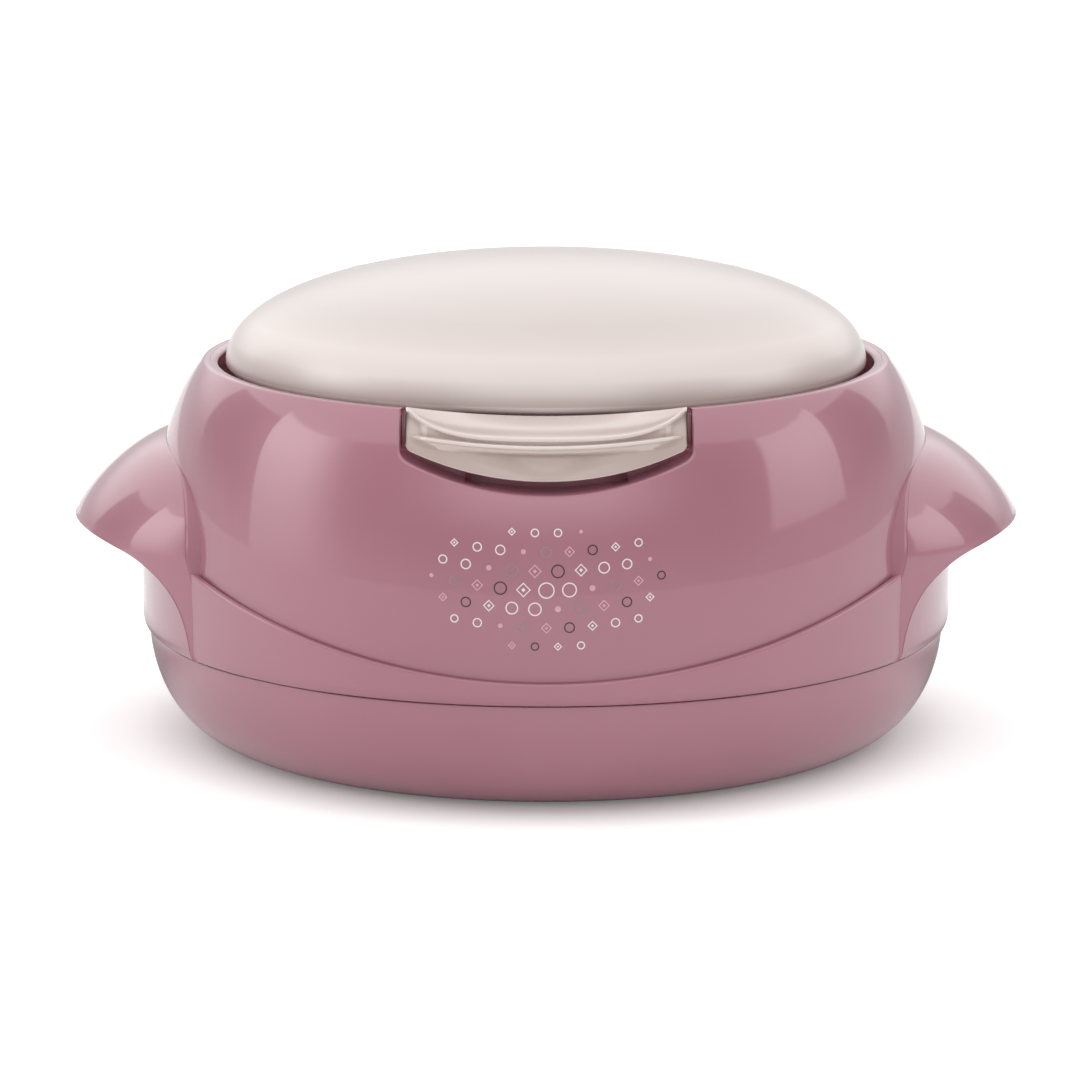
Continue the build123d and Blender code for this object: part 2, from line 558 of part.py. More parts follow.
# ---- hinge bridge on the lid ---------------------------------------------------------------------------
def bridge_block(inset):
    """Arched hood over the hinge, as a solid moved in by inset."""
    low = BRIDGE_BOTTOM_Z - inset
    front = BRIDGE_FRONT_Y + inset
    rear = HINGE_Y + BRIDGE_REACH - inset
    block = Pos(0, (front + rear) / 2, 130) * Box(2 * (BRIDGE_HALF_WIDTH - inset), rear - front, 40)
    front_edges = block.edges().filter_by(Axis.Z).group_by(Axis.Y)[0]
    plan = fillet(front_edges, BRIDGE_CORNERS[0] - inset)
    rear_edges = plan.edges().filter_by(Axis.Z).group_by(Axis.Y)[-1]
    plan = fillet(rear_edges, BRIDGE_CORNERS[1] - inset)
    top = BRIDGE_TOP_Z + 4 - inset
    back_start = (BRIDGE_MIDDLE_Y + 2, top)
    back_pull, hinge_pull_z = BRIDGE_BACK
    side = Polyline((rear, HINGE_Z), (rear, low), (front, low), (front, top), back_start)
    back = Bezier(back_start, (back_pull[0], back_pull[1] - inset), (rear, hinge_pull_z - inset),
                  (rear, HINGE_Z))
    profile = side_prism(BRIDGE_HALF_WIDTH, make_face(Curve() + [side, back]))
    return plan & profile & bridge_arch(inset)


def bridge_arch(inset):
    """Long sloping prism whose section is the bridge seen from the front, with rounded shoulders."""
    half = BRIDGE_HALF_WIDTH - inset
    shoulder = -inset - half ** 2 / (2 * BRIDGE_ARCH_RADIUS)
    crown = ThreePointArc((-half, shoulder), (0, -inset), (half, shoulder))
    sides = Polyline((half, shoulder), (half, -50), (-half, -50), (-half, shoulder))
    section = make_face(Curve() + [crown, sides])
    section = fillet(section.vertices().group_by(Axis.Y)[-1], BRIDGE_SHOULDER - inset)
    slope = radians(BRIDGE_SLOPE)
    reach = 60
    start = (0, BRIDGE_MIDDLE_Y - reach * cos(slope), BRIDGE_TOP_Z + reach * sin(slope))
    plane = Plane(origin=start, x_dir=(-1, 0, 0), z_dir=(0, cos(slope), -sin(slope)))
    return extrude(plane * section, 2 * reach)


def hinge_bridge():
    """Hinge cover screwed onto the lid: a thin arched hood with three knuckles under its back."""
    inside = bridge_block(WALL)
    shell = bridge_block(0) - inside - Pos(0, 0, BRIDGE_BOTTOM_Z - 5) * Box(300, 300, 10)
    inner_end = BODY_KNUCKLE[0] - KNUCKLE_GAP
    outer_start = BODY_KNUCKLE[1] + KNUCKLE_GAP
    end = LID_KNUCKLE_END
    fillers = [boss & inside for boss in at_screws(SCREW_SEAT_Z, DOME_TOP_Z, BOSS_RADIUS)]
    knuckles = []
    for left, right in ((-end, -outer_start), (-inner_end, inner_end), (outer_start, end)):
        knuckles.append(x_cylinder(KNUCKLE_RADIUS, left, right, HINGE_Y, HINGE_Z))
        web = Pos((left + right) / 2, HINGE_Y - 1.5, HINGE_Z + 10) * Box(right - left, KNUCKLE_WEB, 20)
        fillers.append(web & inside)
    bridge = shell + fillers - dome_body() + knuckles
    pin_hole = x_cylinder(HINGE_PIN_RADIUS + HINGE_CLEARANCE, -end, end, HINGE_Y, HINGE_Z)
    pilots = at_screws(SCREW_SEAT_Z - 0.2, SCREW_SEAT_Z + SCREW_LENGTH + 0.2, SCREW_RADIUS + 0.05)
    return bridge - pin_hole - pilots


def hinge_screws():
    """Pan-head screws up through the lid's bosses into the bridge."""
    seat = SCREW_SEAT_Z
    head_low = seat - SCREW_HEAD_HEIGHT
    length, width, depth = SCREW_SLOT
    cross = Box(length, width, depth) + Box(width, length, depth)
    screw = disc(SCREW_HEAD_RADIUS, head_low, seat) + disc(SCREW_RADIUS, seat, seat + SCREW_LENGTH)
    screw = screw - Pos(0, 0, head_low) * cross
    return [Pos(x, y, 0) * screw for x, y in SCREW_SPOTS]


def hinge_pin():
    end = LID_KNUCKLE_END - 1
    return chamfer(x_cylinder(HINGE_PIN_RADIUS, -end, end, HINGE_Y, HINGE_Z).edges(), 0.4)


# ---- front latch ----------------------------------------------------------------------------------------
def latch_pin():
    end = LATCH_PIN_END
    return chamfer(x_cylinder(LATCH_PIN_RADIUS, -end, end, LATCH_PIVOT_Y, LATCH_PIVOT_Z).edges(), 0.3)


def sloping_disc(radius, centre_y, front_z, slope, below, above):
    """Disc that slopes down to the front, with front_z the height of its plane at its front edge."""
    tilt = radians(slope)
    origin = (0, centre_y, front_z + radius * sin(tilt))
    plane = Plane(origin=origin, x_dir=(1, 0, 0), z_dir=(0, -sin(tilt), cos(tilt)))
    return extrude(plane.offset(-below) * Circle(radius), below + above)


def visor_disc(radius, below):
    return sloping_disc(radius, VISOR_Y, VISOR_FRONT_Z, VISOR_TILT, below, 6)


def step_disc(radius, half_height):
    return sloping_disc(radius, STEP_Y, STEP_FRONT_Z, STEP_TILT, half_height, half_height)


def latch_roof():
    """Space above the latch's top, which is slightly hollow from side to side."""
    tilt = radians(VISOR_TILT)
    plane = Plane(origin=(0, *ROOF_FRONT), x_dir=(1, 0, 0), z_dir=(0, cos(tilt), sin(tilt)))
    return extrude(plane * Pos(0, -ROOF_RADIUS) * Circle(ROOF_RADIUS), 120)


def front_latch():
    """Flap of the shoulder's own curvature, with a stepped visor on top and a pin barrel behind."""
    half = LATCH_HALF_WIDTH
    window = front_prism(half, LATCH_CORNER_Z, LATCH_BOTTOM_Z)
    in_front = window & Pos(0, -131, 110) * Box(200, 60, 60)
    panel = (shoulder_body() - shoulder_body(LATCH_WALL)) & window & outside(RIM_SEAM_RADIUS)
    visor = (visor_disc(VISOR_RADIUS, VISOR_LIP) + visor_disc(VISOR_RADIUS - VISOR_STEP, 2.4)) & in_front
    step = (step_disc(STEP_RADIUS, 0.9) + step_disc(STEP_RADIUS - 1.2, 2.5)) & in_front
    step = step - disc(STEP_BACK_RADIUS, 90, 130)
    rib = Pos(RIB_X, -109.5, 104.5) * Box(*RIB_SIZE) & front_prism(half - 1, 108, 100.4)
    barrel = x_cylinder(LATCH_BARREL_RADIUS, 0.6 - half, half - 0.6, LATCH_PIVOT_Y, LATCH_PIVOT_Z)
    latch = (panel + visor + step) - latch_roof() + barrel + both_sides(rib)
    ear_width = EAR[1] - EAR[0] + 0.8
    ear_room = side_prism(ear_width / 2, polygon(*EAR_ROOM), sum(EAR) / 2)
    bore = x_cylinder(LATCH_PIN_RADIUS + HINGE_CLEARANCE, -half, half, LATCH_PIVOT_Y, LATCH_PIVOT_Z)
    return latch - both_sides(ear_room) - bore


save("base_shell", base_shell())
save("base_cover", base_cover())
save("base_fill_plug", base_fill_plug())
save("handle_band", handle_band())
save("shoulder_shell", shoulder_shell())
save("rim_ring", rim_ring())
save("inner_bowl", inner_bowl())
save("body_foam", body_foam())
save("hinge_pin", hinge_pin())
save("lid_shell", lid_shell())
save("lid_foam", lid_foam())
save("lid_liner", lid_liner())
save("lid_fill_plug", lid_fill_plug())
save("lid_seal", lid_seal())
save("hinge_bridge", hinge_bridge())
save("hinge_screws", *hinge_screws())
save("latch_pin", latch_pin())
save("front_latch", front_latch())
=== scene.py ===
"""Looks of the insulated chapati casserole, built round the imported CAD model. Metres, +Z up."""
from math import asin, cos, pi, radians, sin, sqrt

import bmesh
import bpy
import numpy as np
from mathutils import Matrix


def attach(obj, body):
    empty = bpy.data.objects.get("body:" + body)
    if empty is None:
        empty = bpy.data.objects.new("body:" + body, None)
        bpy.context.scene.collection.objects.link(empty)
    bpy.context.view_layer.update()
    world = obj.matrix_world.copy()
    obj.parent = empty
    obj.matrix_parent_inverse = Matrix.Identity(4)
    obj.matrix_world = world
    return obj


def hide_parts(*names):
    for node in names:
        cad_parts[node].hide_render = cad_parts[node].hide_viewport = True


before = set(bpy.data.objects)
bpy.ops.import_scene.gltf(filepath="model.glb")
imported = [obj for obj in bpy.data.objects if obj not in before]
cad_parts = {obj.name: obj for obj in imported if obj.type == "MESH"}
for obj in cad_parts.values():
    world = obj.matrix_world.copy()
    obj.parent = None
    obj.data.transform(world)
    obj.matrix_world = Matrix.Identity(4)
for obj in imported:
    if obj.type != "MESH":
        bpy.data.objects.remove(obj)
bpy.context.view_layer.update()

# ---- Base shell --------------------------------------------------------------
# The lower bowl of the body: one injection moulding in dusty pink polypropylene with a pearl gloss.
# It stands on a narrow foot ring, and its upstand slips inside the shoulder shell above the seam.
PINK = (0.385, 0.155, 0.205)
PINK_DEEP = (0.355, 0.136, 0.184)


def link(start, start_socket, end, end_socket):
    start.id_data.links.new(start.outputs[start_socket], end.inputs[end_socket])


def set_inputs(node, **values):
    """Set a node's inputs by their names; an underscore stands for a space."""
    for name, value in values.items():
        node.inputs[name.replace("_", " ")].default_value = value


def add_node(nodes, kind, **values):
    node = nodes.new(kind)
    set_inputs(node, **values)
    return node


def new_material(name):
    """Material with its shader and the coordinates of its object."""
    material = bpy.data.materials.new(name)
    material.use_nodes = True
    nodes = material.node_tree.nodes
    return material, nodes["Principled BSDF"], nodes.new("ShaderNodeTexCoord")


def add_noise(place, **values):
    """Noise fixed to the object; its scale counts waves in a metre."""
    noise = add_node(place.id_data.nodes, "ShaderNodeTexNoise", **values)
    link(place, "Object", noise, "Vector")
    return noise


def mix_colours(nodes, first, second):
    """Node that mixes two colours, which come in at its sockets 6 and 7 and go out at 2."""
    mix = nodes.new("ShaderNodeMix")
    mix.data_type = "RGBA"
    mix.inputs[6].default_value = (*first, 1)
    mix.inputs[7].default_value = (*second, 1)
    return mix


def vary_roughness(shader, texture, low, high):
    spread = add_node(shader.id_data.nodes, "ShaderNodeMapRange", To_Min=low, To_Max=high)
    link(texture, "Fac", spread, "Value")
    link(spread, "Result", shader, "Roughness")


def add_bump(shader, texture, socket, strength, distance):
    bump = add_node(shader.id_data.nodes, "ShaderNodeBump", Strength=strength, Distance=distance)
    link(texture, socket, bump, "Height")
    link(bump, "Normal", shader, "Normal")


def gloss_plastic(name, colour, deep, flake=0.08, rough=0.34, polish=0.035, coat=1.0, painted_light_by_facing=()):
    """Injection-moulded gloss plastic: a satin pearl body under a clear, nearly mirror-smooth skin.

    The last argument holds pairs (upward part of the surface's normal, tint) of painted light and shade: the
    colour is multiplied by a tint that runs between them with the way the surface faces.
    """
    material, shader, place = new_material(name)
    nodes = material.node_tree.nodes
    # slow drift of the melt's colour, a few centimetres long
    drift = add_noise(place, Scale=14, Detail=2)
    spread = add_node(nodes, "ShaderNodeMapRange", From_Min=0.15, From_Max=0.60)
    link(drift, "Fac", spread, "Value")
    tone = mix_colours(nodes, deep, colour)
    link(spread, "Result", tone, "Factor")
    # painted light and shade: a tint picked by the way the surface faces, from the object's own normals
    if painted_light_by_facing:
        normal = nodes.new("ShaderNodeSeparateXYZ")
        link(place, "Normal", normal, "Vector")
        shade = nodes.new("ShaderNodeValToRGB")
        while len(shade.color_ramp.elements) < len(painted_light_by_facing):
            shade.color_ramp.elements.new(0.5)
        for stop, (upward, tint) in zip(shade.color_ramp.elements, painted_light_by_facing):
            stop.position = upward
            stop.color = (*tint, 1)
        link(normal, "Z", shade, "Fac")
        tinted = mix_colours(nodes, colour, colour)
        tinted.blend_type = "MULTIPLY"
        tinted.inputs["Factor"].default_value = 1.0
        link(tone, 2, tinted, 6)
        link(shade, "Color", tinted, 7)
        tone = tinted
    link(tone, 2, shader, "Base Color")
    # fine pearl pigment: the body's gloss changes from grain to grain
    vary_roughness(shader, add_noise(place, Scale=2600, Detail=1), rough - 0.05, rough + 0.07)
    # the faint waviness of a moulded skin
    add_bump(shader, add_noise(place, Scale=55, Detail=1), "Fac", 0.02, 0.001)
    set_inputs(shader, Metallic=flake, IOR=1.49, Coat_Weight=coat, Coat_Roughness=polish, Coat_IOR=1.5)
    return material


def bezier(points, count):
    """Points along a cubic curve from its four handles."""
    a, b, c, d = (np.array(p, float) for p in points)
    t = np.linspace(0, 1, count)[:, None]
    return (1 - t) ** 3 * a + 3 * (1 - t) ** 2 * t * b + 3 * (1 - t) * t ** 2 * c + t ** 3 * d


def round_corner(before, corner, after, t):
    """The point at t (0 to 1) on the curve that cuts a corner off."""
    return (1 - t) ** 2 * before + 2 * t * (1 - t) * corner + t * t * after


def soften(outline, radius, sharpest=25):
    """Closed outline whose corners give way to short curves, as on any moulded edge."""
    points = np.array(outline, float)
    step = np.roll(points, -1, axis=0) - points
    length = np.linalg.norm(step, axis=1)
    points, step, length = points[length > 1e-6], step[length > 1e-6], length[length > 1e-6]
    heading = np.arctan2(step[:, 1], step[:, 0])
    turn = np.abs((heading - np.roll(heading, 1) + pi) % (2 * pi) - pi)
    place = np.concatenate(([0], np.cumsum(length)))
    total = place[-1]
    loop = np.vstack([points, points[:1]])

    def at(s):
        return np.array([np.interp(s % total, place, loop[:, k]) for k in (0, 1)])

    def distance(s, r):
        """Shorter way along the outline between two places on it."""
        return abs((s - r + total / 2) % total - total / 2)

    corners = [i for i in np.flatnonzero(turn > radians(sharpest)) if points[i, 0] > 1e-6]
    spots = place[:-1]
    reach = {}
    for i in corners:
        others = [distance(spots[i], spots[j]) for j in corners if j != i]
        reach[i] = min([radius] + [0.4 * d for d in others])
    made = []
    for i, s in enumerate(spots):
        gap = [distance(s, spots[j]) - 1.7 * reach[j] for j in corners]
        if i not in reach and min(gap, default=1) > 0:
            made.append((s, points[i]))
    for i, r in reach.items():
        before, after = at(spots[i] - r), at(spots[i] + r)
        for s in (spots[i] - 1.7 * r, spots[i] + 1.7 * r):
            made.append((s % total, at(s)))
        for t in (0, 0.25, 0.5, 0.75, 1):
            made.append(((spots[i] + (2 * t - 1) * r) % total, round_corner(before, points[i], after, t)))
    made.sort(key=lambda item: item[0])
    return np.array([p for _, p in made])


def add_piece(name, grids, body, material, node=None, sharp=35, others=(), other_material=None):
    """One object from grids of points in millimetres, welded where they meet; a single loop is a flat end.

    The grids in others belong to the same moulding but show another surface.
    """
    mesh = bmesh.new()
    for index, grid in [(0, grid) for grid in grids] + [(1, grid) for grid in others]:
        grid = np.asarray(grid, float) / 1000
        if grid.ndim == 2:
            mesh.faces.new([mesh.verts.new(p) for p in grid])
            continue
        rows = [[mesh.verts.new(p) for p in row] for row in grid]
        for low, high in zip(rows, rows[1:]):
            for a, b, c, d in zip(low, low[1:], high[1:], high):
                mesh.faces.new((a, b, c, d)).material_index = index
    bmesh.ops.remove_doubles(mesh, verts=mesh.verts, dist=2e-6)
    bmesh.ops.dissolve_degenerate(mesh, edges=mesh.edges, dist=1e-7)
    bmesh.ops.recalc_face_normals(mesh, faces=mesh.faces)
    data = bpy.data.meshes.new(name)
    mesh.to_mesh(data)
    mesh.free()
    data.shade_smooth()
    for face in data.polygons:
        face.use_smooth = len(face.vertices) < 9
    data.set_sharp_from_angle(angle=radians(sharp))
    data.materials.append(material)
    if other_material:
        data.materials.append(other_material)
    piece = bpy.data.objects.new(name, data)
    bpy.context.scene.collection.objects.link(piece)
    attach(piece, body)
    if node:
        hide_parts(node)
    return piece


def polar(r, angle, z):
    """Points at radius r and height z, turned by the angle from the front."""
    return np.stack([r * np.sin(angle), -r * np.cos(angle), z + 0 * angle], axis=-1)


def lathe(outline, start=0.0, end=360.0, count=320):
    """Grid of points of an outline (r, z) turned about the middle, between two angles in degrees."""
    outline = np.vstack([outline, outline[:1]])
    return polar(outline[:, :1], np.radians(np.linspace(start, end, count + 1)), outline[:, 1:])


FOOT_RADIUS = 96.0
BODY_RADIUS = 125.2
SEAM_Z = 35.0
base_outer = bezier(((FOOT_RADIUS, 0), (118, 0), (BODY_RADIUS, 22.2), (BODY_RADIUS, SEAM_Z - 0.05)), 60)
base_upstand = [(122.6, SEAM_Z - 0.05), (122.6, 41), (120.3, 41), (120.3, 30.8)]
base_inner = bezier(((122.9, 28.8), (122.9, 16), (108, 5.4), (87, 4.9)), 40)
base_floor = [(0, 4.9), (0, 2.6), (87, 2.6), (88.5, 0)]
pearl_pink = gloss_plastic("pearl_pink_plastic", PINK, PINK_DEEP)
base_outline = soften(np.vstack([base_outer, base_upstand, base_inner, base_floor]), 0.45)
add_piece("base_bowl", [lathe(base_outline)], "body", pearl_pink, "base_shell")

# ---- Base cover and fill plug ------------------------------------------------
# A thin snap-in disc under the base hides the hole through which the foam was poured; the hole itself
# is closed by a pushed-in stopper. Both are plain satin polypropylene.


def vary_tone(shader, texture, socket, colour, dark, low=0.0, high=1.0):
    """Colour that runs from a darker tone to the full one where a texture runs from low to high."""
    ramp = shader.id_data.nodes.new("ShaderNodeValToRGB")
    first, last = ramp.color_ramp.elements
    first.position, last.position = low, high
    first.color, last.color = (*(dark * v for v in colour), 1), (*colour, 1)
    link(texture, socket, ramp, "Fac")
    link(ramp, "Color", shader, "Base Color")


def satin_plastic(name, colour, rough):
    """Plain moulded plastic with a fine spark-eroded grain."""
    material, shader, place = new_material(name)
    vary_tone(shader, add_noise(place, Scale=30), "Fac", colour, 0.9, 0.3, 0.7)
    add_bump(shader, add_noise(place, Scale=1500), "Fac", 0.15, 0.0002)
    set_inputs(shader, Roughness=rough, IOR=1.49)
    return material


def dress(node, material):
    """Give a CAD node that already has the right shape its real finish."""
    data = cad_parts[node].data
    data.materials.clear()
    data.materials.append(material)


pink_satin = satin_plastic("pink_satin_plastic", (0.38, 0.17, 0.22), 0.42)
pale_satin = satin_plastic("pale_satin_plastic", (0.72, 0.68, 0.62), 0.45)
dress("base_cover", pink_satin)
dress("base_fill_plug", pale_satin)

# ---- Band with its two hooded handles ----------------------------------------
# One pink moulding: a belt two millimetres proud of the body, low at the front and back, that sweeps
# up at both sides into open-bottomed hoods. The fingers go up behind the hoods to lift the casserole.
BAND_RADIUS = 127.2
BAND_BOTTOM = 35.2
BAND_ROUND_Z = 38.8
BAND_ROUND = 3.6
BAND_TUCK = 1.8
BAND_EDGE = 0.7
SMILE_MIDDLE_Z = 330.0
SMILE_RADIUS = 288.0
# the hood's crest (x, z), and its outline and free edge (y, z)
HOOD_CREST = ((119.0, 94.2), (133.2, 91.3), (148.8, 73.0), (149.2, 66.0))
HOOD_ARCH = ((0, 94.8), (30, 93.2), (55, 86.3), (66.5, 74.5), (70.2, 56))
HOOD_FREE_EDGE = ((0, 69.5), (30, 68.6), (48, 66.8), (58, 63.8), (65, 57), (68.6, 46), (69.9, 30))
# level sections of the hood are arcs; their radius at the foot of its crest, and what it loses up to its top
HOOD_RADIUS = 78.5
HOOD_RADIUS_LOSS = 12.0
HOOD_CREST_FOOT_Z = 66.0
HOOD_CREST_RISE = 28.2
HOOD_TOP_Z = 94.1
HOOD_HALF = 69.9
HOOD_TUCK = 1.7
HOOD_WALL = 2.5
HOOD_EDGE = 0.35
HOOD_INSIDE = 0.03
BURIED = 0.5


def smooth_line(points, count):
    """Points along a natural cubic spline through the given ones."""
    p = np.array(points, float)
    n = len(p)
    k = np.concatenate(([0], np.cumsum(np.linalg.norm(np.diff(p, axis=0), axis=1))))
    h = np.diff(k)
    left = np.eye(n)
    right = np.zeros((n, 2))
    for i in range(1, n - 1):
        left[i, i - 1:i + 2] = h[i - 1], 2 * (h[i - 1] + h[i]), h[i]
        right[i] = 6 * ((p[i + 1] - p[i]) / h[i] - (p[i] - p[i - 1]) / h[i - 1])
    bend = np.linalg.solve(left, right)
    s = np.linspace(0, k[-1], count)
    i = np.clip(np.searchsorted(k, s) - 1, 0, n - 2)
    a, b, w = (k[i + 1] - s)[:, None], (s - k[i])[:, None], h[i][:, None]
    return ((bend[i] * a ** 3 + bend[i + 1] * b ** 3) / (6 * w)
            + (p[i] / w - bend[i] * w / 6) * a + (p[i + 1] / w - bend[i + 1] * w / 6) * b)


def mirrored_line(half, low, count):
    """Whole side outline (y, z) from half of it, cut off at the height low."""
    whole = [(-y, z) for y, z in reversed(half[1:])] + list(half)
    line = smooth_line(whole, 1600)
    if line[-1, 1] > low:
        end_y = line[-1, 0]
        drop = np.linspace(line[-1, 1], low, 120)[1:]
        tail = np.stack([np.full(119, end_y), drop], axis=1)
        line = np.vstack([tail[::-1] * (-1, 1), line, tail])
    line = line[line[:, 1] >= low - 1e-9]
    s = np.concatenate(([0], np.cumsum(np.linalg.norm(np.diff(line, axis=0), axis=1))))
    even = np.linspace(0, s[-1], count)
    return np.stack([np.interp(even, s, line[:, k]) for k in (0, 1)], axis=1)


def unit(vectors):
    return vectors / np.linalg.norm(vectors, axis=1)[:, None]


def hood_x(y, z, inset=0.0):
    """How far out the hood's surface stands over a point (y, z) of its side view."""
    crest = bezier(HOOD_CREST, 500)
    slope = unit(np.gradient(crest, axis=0))
    rise = (crest[:, 1] - HOOD_CREST_FOOT_Z) / HOOD_CREST_RISE
    radius = HOOD_RADIUS - HOOD_RADIUS_LOSS * rise ** 3 - inset
    x = crest[:, 0] + inset * slope[:, 1]
    height = crest[:, 1] - inset * slope[:, 0]
    x_at = np.interp(z, height[::-1], x[::-1])
    r_at = np.interp(z, height[::-1], radius[::-1])
    below = np.clip((BAND_ROUND_Z - z) / (BAND_ROUND_Z - BAND_BOTTOM), 0, 1)
    tuck = HOOD_TUCK * (1 - np.sqrt(1 - below ** 2))
    return x_at - r_at + np.sqrt(np.maximum(r_at ** 2 - y ** 2, 0)) - tuck - HOOD_INSIDE


SHOULDER_TOP = (107.3, 117.9)
SHOULDER_LEAN = 47.2
SHOULDER_PULL = 16.2


def shoulder_curve(inset=0.0):
    """The shoulder's outline (r, z) from the seam to the rim."""
    lean = radians(SHOULDER_LEAN)
    radius = BODY_RADIUS - inset
    top = np.array([SHOULDER_TOP[0] - inset * sin(lean), SHOULDER_TOP[1] - inset * cos(lean)])
    rim_pull = top + SHOULDER_PULL * np.array([cos(lean), -sin(lean)])
    curve = bezier(((radius, 50), (radius, 78.2), rim_pull, top), 240)
    return np.vstack([[(radius, BAND_BOTTOM)], curve])


def shoulder_radius(z, inset=0.0):
    curve = shoulder_curve(inset)
    return np.interp(z, curve[:, 1], curve[:, 0])


def shoulder_x(points):
    """How far out the shoulder stands over points of its side view."""
    return np.sqrt(np.maximum(shoulder_radius(points[:, 2]) ** 2 - points[:, 1] ** 2, 0))


def smile_z(x):
    """Height of the belt's upper edge, one long arc in front view."""
    return SMILE_MIDDLE_Z - np.sqrt(SMILE_RADIUS ** 2 - x ** 2)


def band_top(y, x):
    """Height of the band's upper edge; under a hood it reaches up to the hood's own wall."""
    smile = smile_z(x)
    arch = mirrored_line(HOOD_ARCH, BAND_BOTTOM, 900)
    half = arch[arch[:, 0] >= 0]
    arch_z = np.interp(np.abs(y), half[:, 0], np.minimum(half[:, 1], 94))
    heights = np.linspace(60, 94, 200)
    meet = np.array([heights[np.argmax(hood_x(v, heights) < sqrt(BAND_RADIUS ** 2 - v * v) + 0.4)]
                     if abs(v) < 69 else 94 for v in np.atleast_1d(y)])
    under = np.minimum(arch_z - 0.4, meet)
    at_hood = (np.abs(y) < HOOD_HALF) & (np.abs(x) > 90)
    return np.where(at_hood, np.maximum(under, np.minimum(smile, arch_z)), smile)


def hood_grid(columns=201):
    """Both skins of the right-hand hood, its free edge and the step down to the shoulder."""
    free = mirrored_line(HOOD_FREE_EDGE, BAND_BOTTOM, columns)
    arch = mirrored_line(HOOD_ARCH, BAND_BOTTOM, columns)
    arch[:, 1] = np.minimum(arch[:, 1], HOOD_TOP_Z)

    def row(v, inset):
        y, z = ((1 - v) * free + v * arch).T
        return np.stack([hood_x(y, z, inset), y, z], axis=1)

    steps = np.sin(np.linspace(0, pi / 2, 44))
    outer = [row(v, 0) for v in steps]
    inner = [row(v, HOOD_WALL) for v in steps[::2]]
    # the inside keeps close behind the shoulder's surface, and its lowest row behind the belt's
    for skin in inner:
        skin[:, 0] = np.maximum(skin[:, 0], shoulder_x(skin) - BURIED)
    wall_x = np.sqrt(BAND_RADIUS ** 2 - inner[0][:, 1] ** 2)
    inner[0][:, 0] = np.maximum(inner[0][:, 0], wall_x - BURIED)
    # the step down to the belt or the shoulder has a rounded edge, and its foot goes into them
    edge = outer[-1]
    on_band = edge[:, 2] < smile_z(np.minimum(edge[:, 0], 280))
    under_r = np.where(on_band, BAND_RADIUS, shoulder_radius(edge[:, 2]))
    under = np.sqrt(np.maximum(under_r ** 2 - edge[:, 1] ** 2, 0))
    step = np.clip(edge[:, 0] - under, 0.04, 6)
    soft = np.minimum(0.9, 0.45 * step)[:, None]
    start, end = edge - soft * unit(outer[-1] - outer[-4]), edge - soft * (1, 0, 0)
    turn = [round_corner(start, edge, end, t) for t in (0, 0.2, 0.4, 0.6, 0.8, 1)]
    foot = edge.copy()
    foot[:, 0] = np.minimum(turn[-1][:, 0], shoulder_x(edge)) - 0.8
    # the free edge is flat with rounded sides
    rim_a = outer[0] - (HOOD_EDGE, 0, 0)
    rim_b = outer[0].copy()
    rim_b[:, 0] = np.minimum(inner[0][:, 0] + HOOD_EDGE, rim_a[:, 0] - 0.1)
    lift = np.zeros_like(outer[0])
    lift[:, 1:] = arch - free
    lift = HOOD_EDGE * lift / np.maximum(np.linalg.norm(lift, axis=1), 1.5)[:, None]
    rows = inner[::-1][:-1] + [inner[0] + lift, rim_b, 0.5 * (rim_a + rim_b), rim_a, outer[0] + lift]
    rows += outer[1:-2] + turn + [0.5 * (turn[-1] + foot), foot]
    return np.array(rows)


def mirrored(grid):
    return np.asarray(grid) * (-1, 1, 1)


def band_grid(count=640):
    """The belt itself: closed section, its top following the sweep."""
    angle = np.radians(np.linspace(-180, 180, count + 1))
    top = band_top(-BAND_RADIUS * np.cos(angle), BAND_RADIUS * np.sin(angle))
    inner_r = BODY_RADIUS + 0.1
    section = [(inner_r, BAND_BOTTOM), (BAND_RADIUS - BAND_TUCK, BAND_BOTTOM)]
    section += [(BAND_RADIUS - BAND_TUCK * (1 - cos(a)), BAND_ROUND_Z - BAND_ROUND * sin(a))
                for a in np.linspace(pi / 2, 0, 9)]
    section += [(BAND_RADIUS, BAND_ROUND_Z + (top - 0.9 - BAND_ROUND_Z) * share)
                for share in np.linspace(0, 1, 14)[1:]]
    section += [(BAND_RADIUS - BAND_EDGE + BAND_EDGE * cos(a), top - BAND_EDGE + BAND_EDGE * sin(a))
                for a in np.linspace(0, pi / 2, 6)]
    section += [(inner_r + 0.3, top), (inner_r, top - 0.3), (inner_r, BAND_BOTTOM)]
    return np.array([polar(r, angle, z) for r, z in section])


hood = hood_grid()
# the narrow wall between hood and shoulder has the mould's plain satin surface; its pink is a little darker
# than the body's, painted shade on this sunken step
hood, hood_wall = hood[:-2], hood[-3:]
satin_painted_shade_pink = gloss_plastic("satin_pink_painted_shade", (0.36, 0.14, 0.19), (0.33, 0.122, 0.17), 0.0, 0.5, 0.5, 0.3)
add_piece("handle_belt", [band_grid(), hood, mirrored(hood)[:, ::-1]], "body", pearl_pink,
          "handle_band", 40, [hood_wall, mirrored(hood_wall)[:, ::-1]], satin_painted_shade_pink)

# ---- Shoulder shell ----------------------------------------------------------
# The upper body of the same pink plastic, from behind the band up to the rim. A U-shaped pocket for the
# latch is sunk into its front, and two hinge knuckles stand on arms at the back.
WINDOW_HALF = 42.2
WINDOW_CORNER_Z = 104.5
WINDOW_BOTTOM_Z = 95.5
WINDOW_EDGE = 1.1
POCKET_BACK = 105.9
POCKET_SILL_Z = 105.3
POCKET_SILL_BACK = 103.6
GROOVE_DEPTH = 1.8
UPPER_ROWS = 26


def arc_radius(half_width, rise):
    return (half_width ** 2 + rise ** 2) / (2 * rise)


window_arc = arc_radius(WINDOW_HALF, WINDOW_CORNER_Z - WINDOW_BOTTOM_Z)
corner_angle = asin(WINDOW_HALF / shoulder_radius(WINDOW_CORNER_Z))


def window_z(x):
    return WINDOW_BOTTOM_Z + window_arc - np.sqrt(window_arc ** 2 - x ** 2)


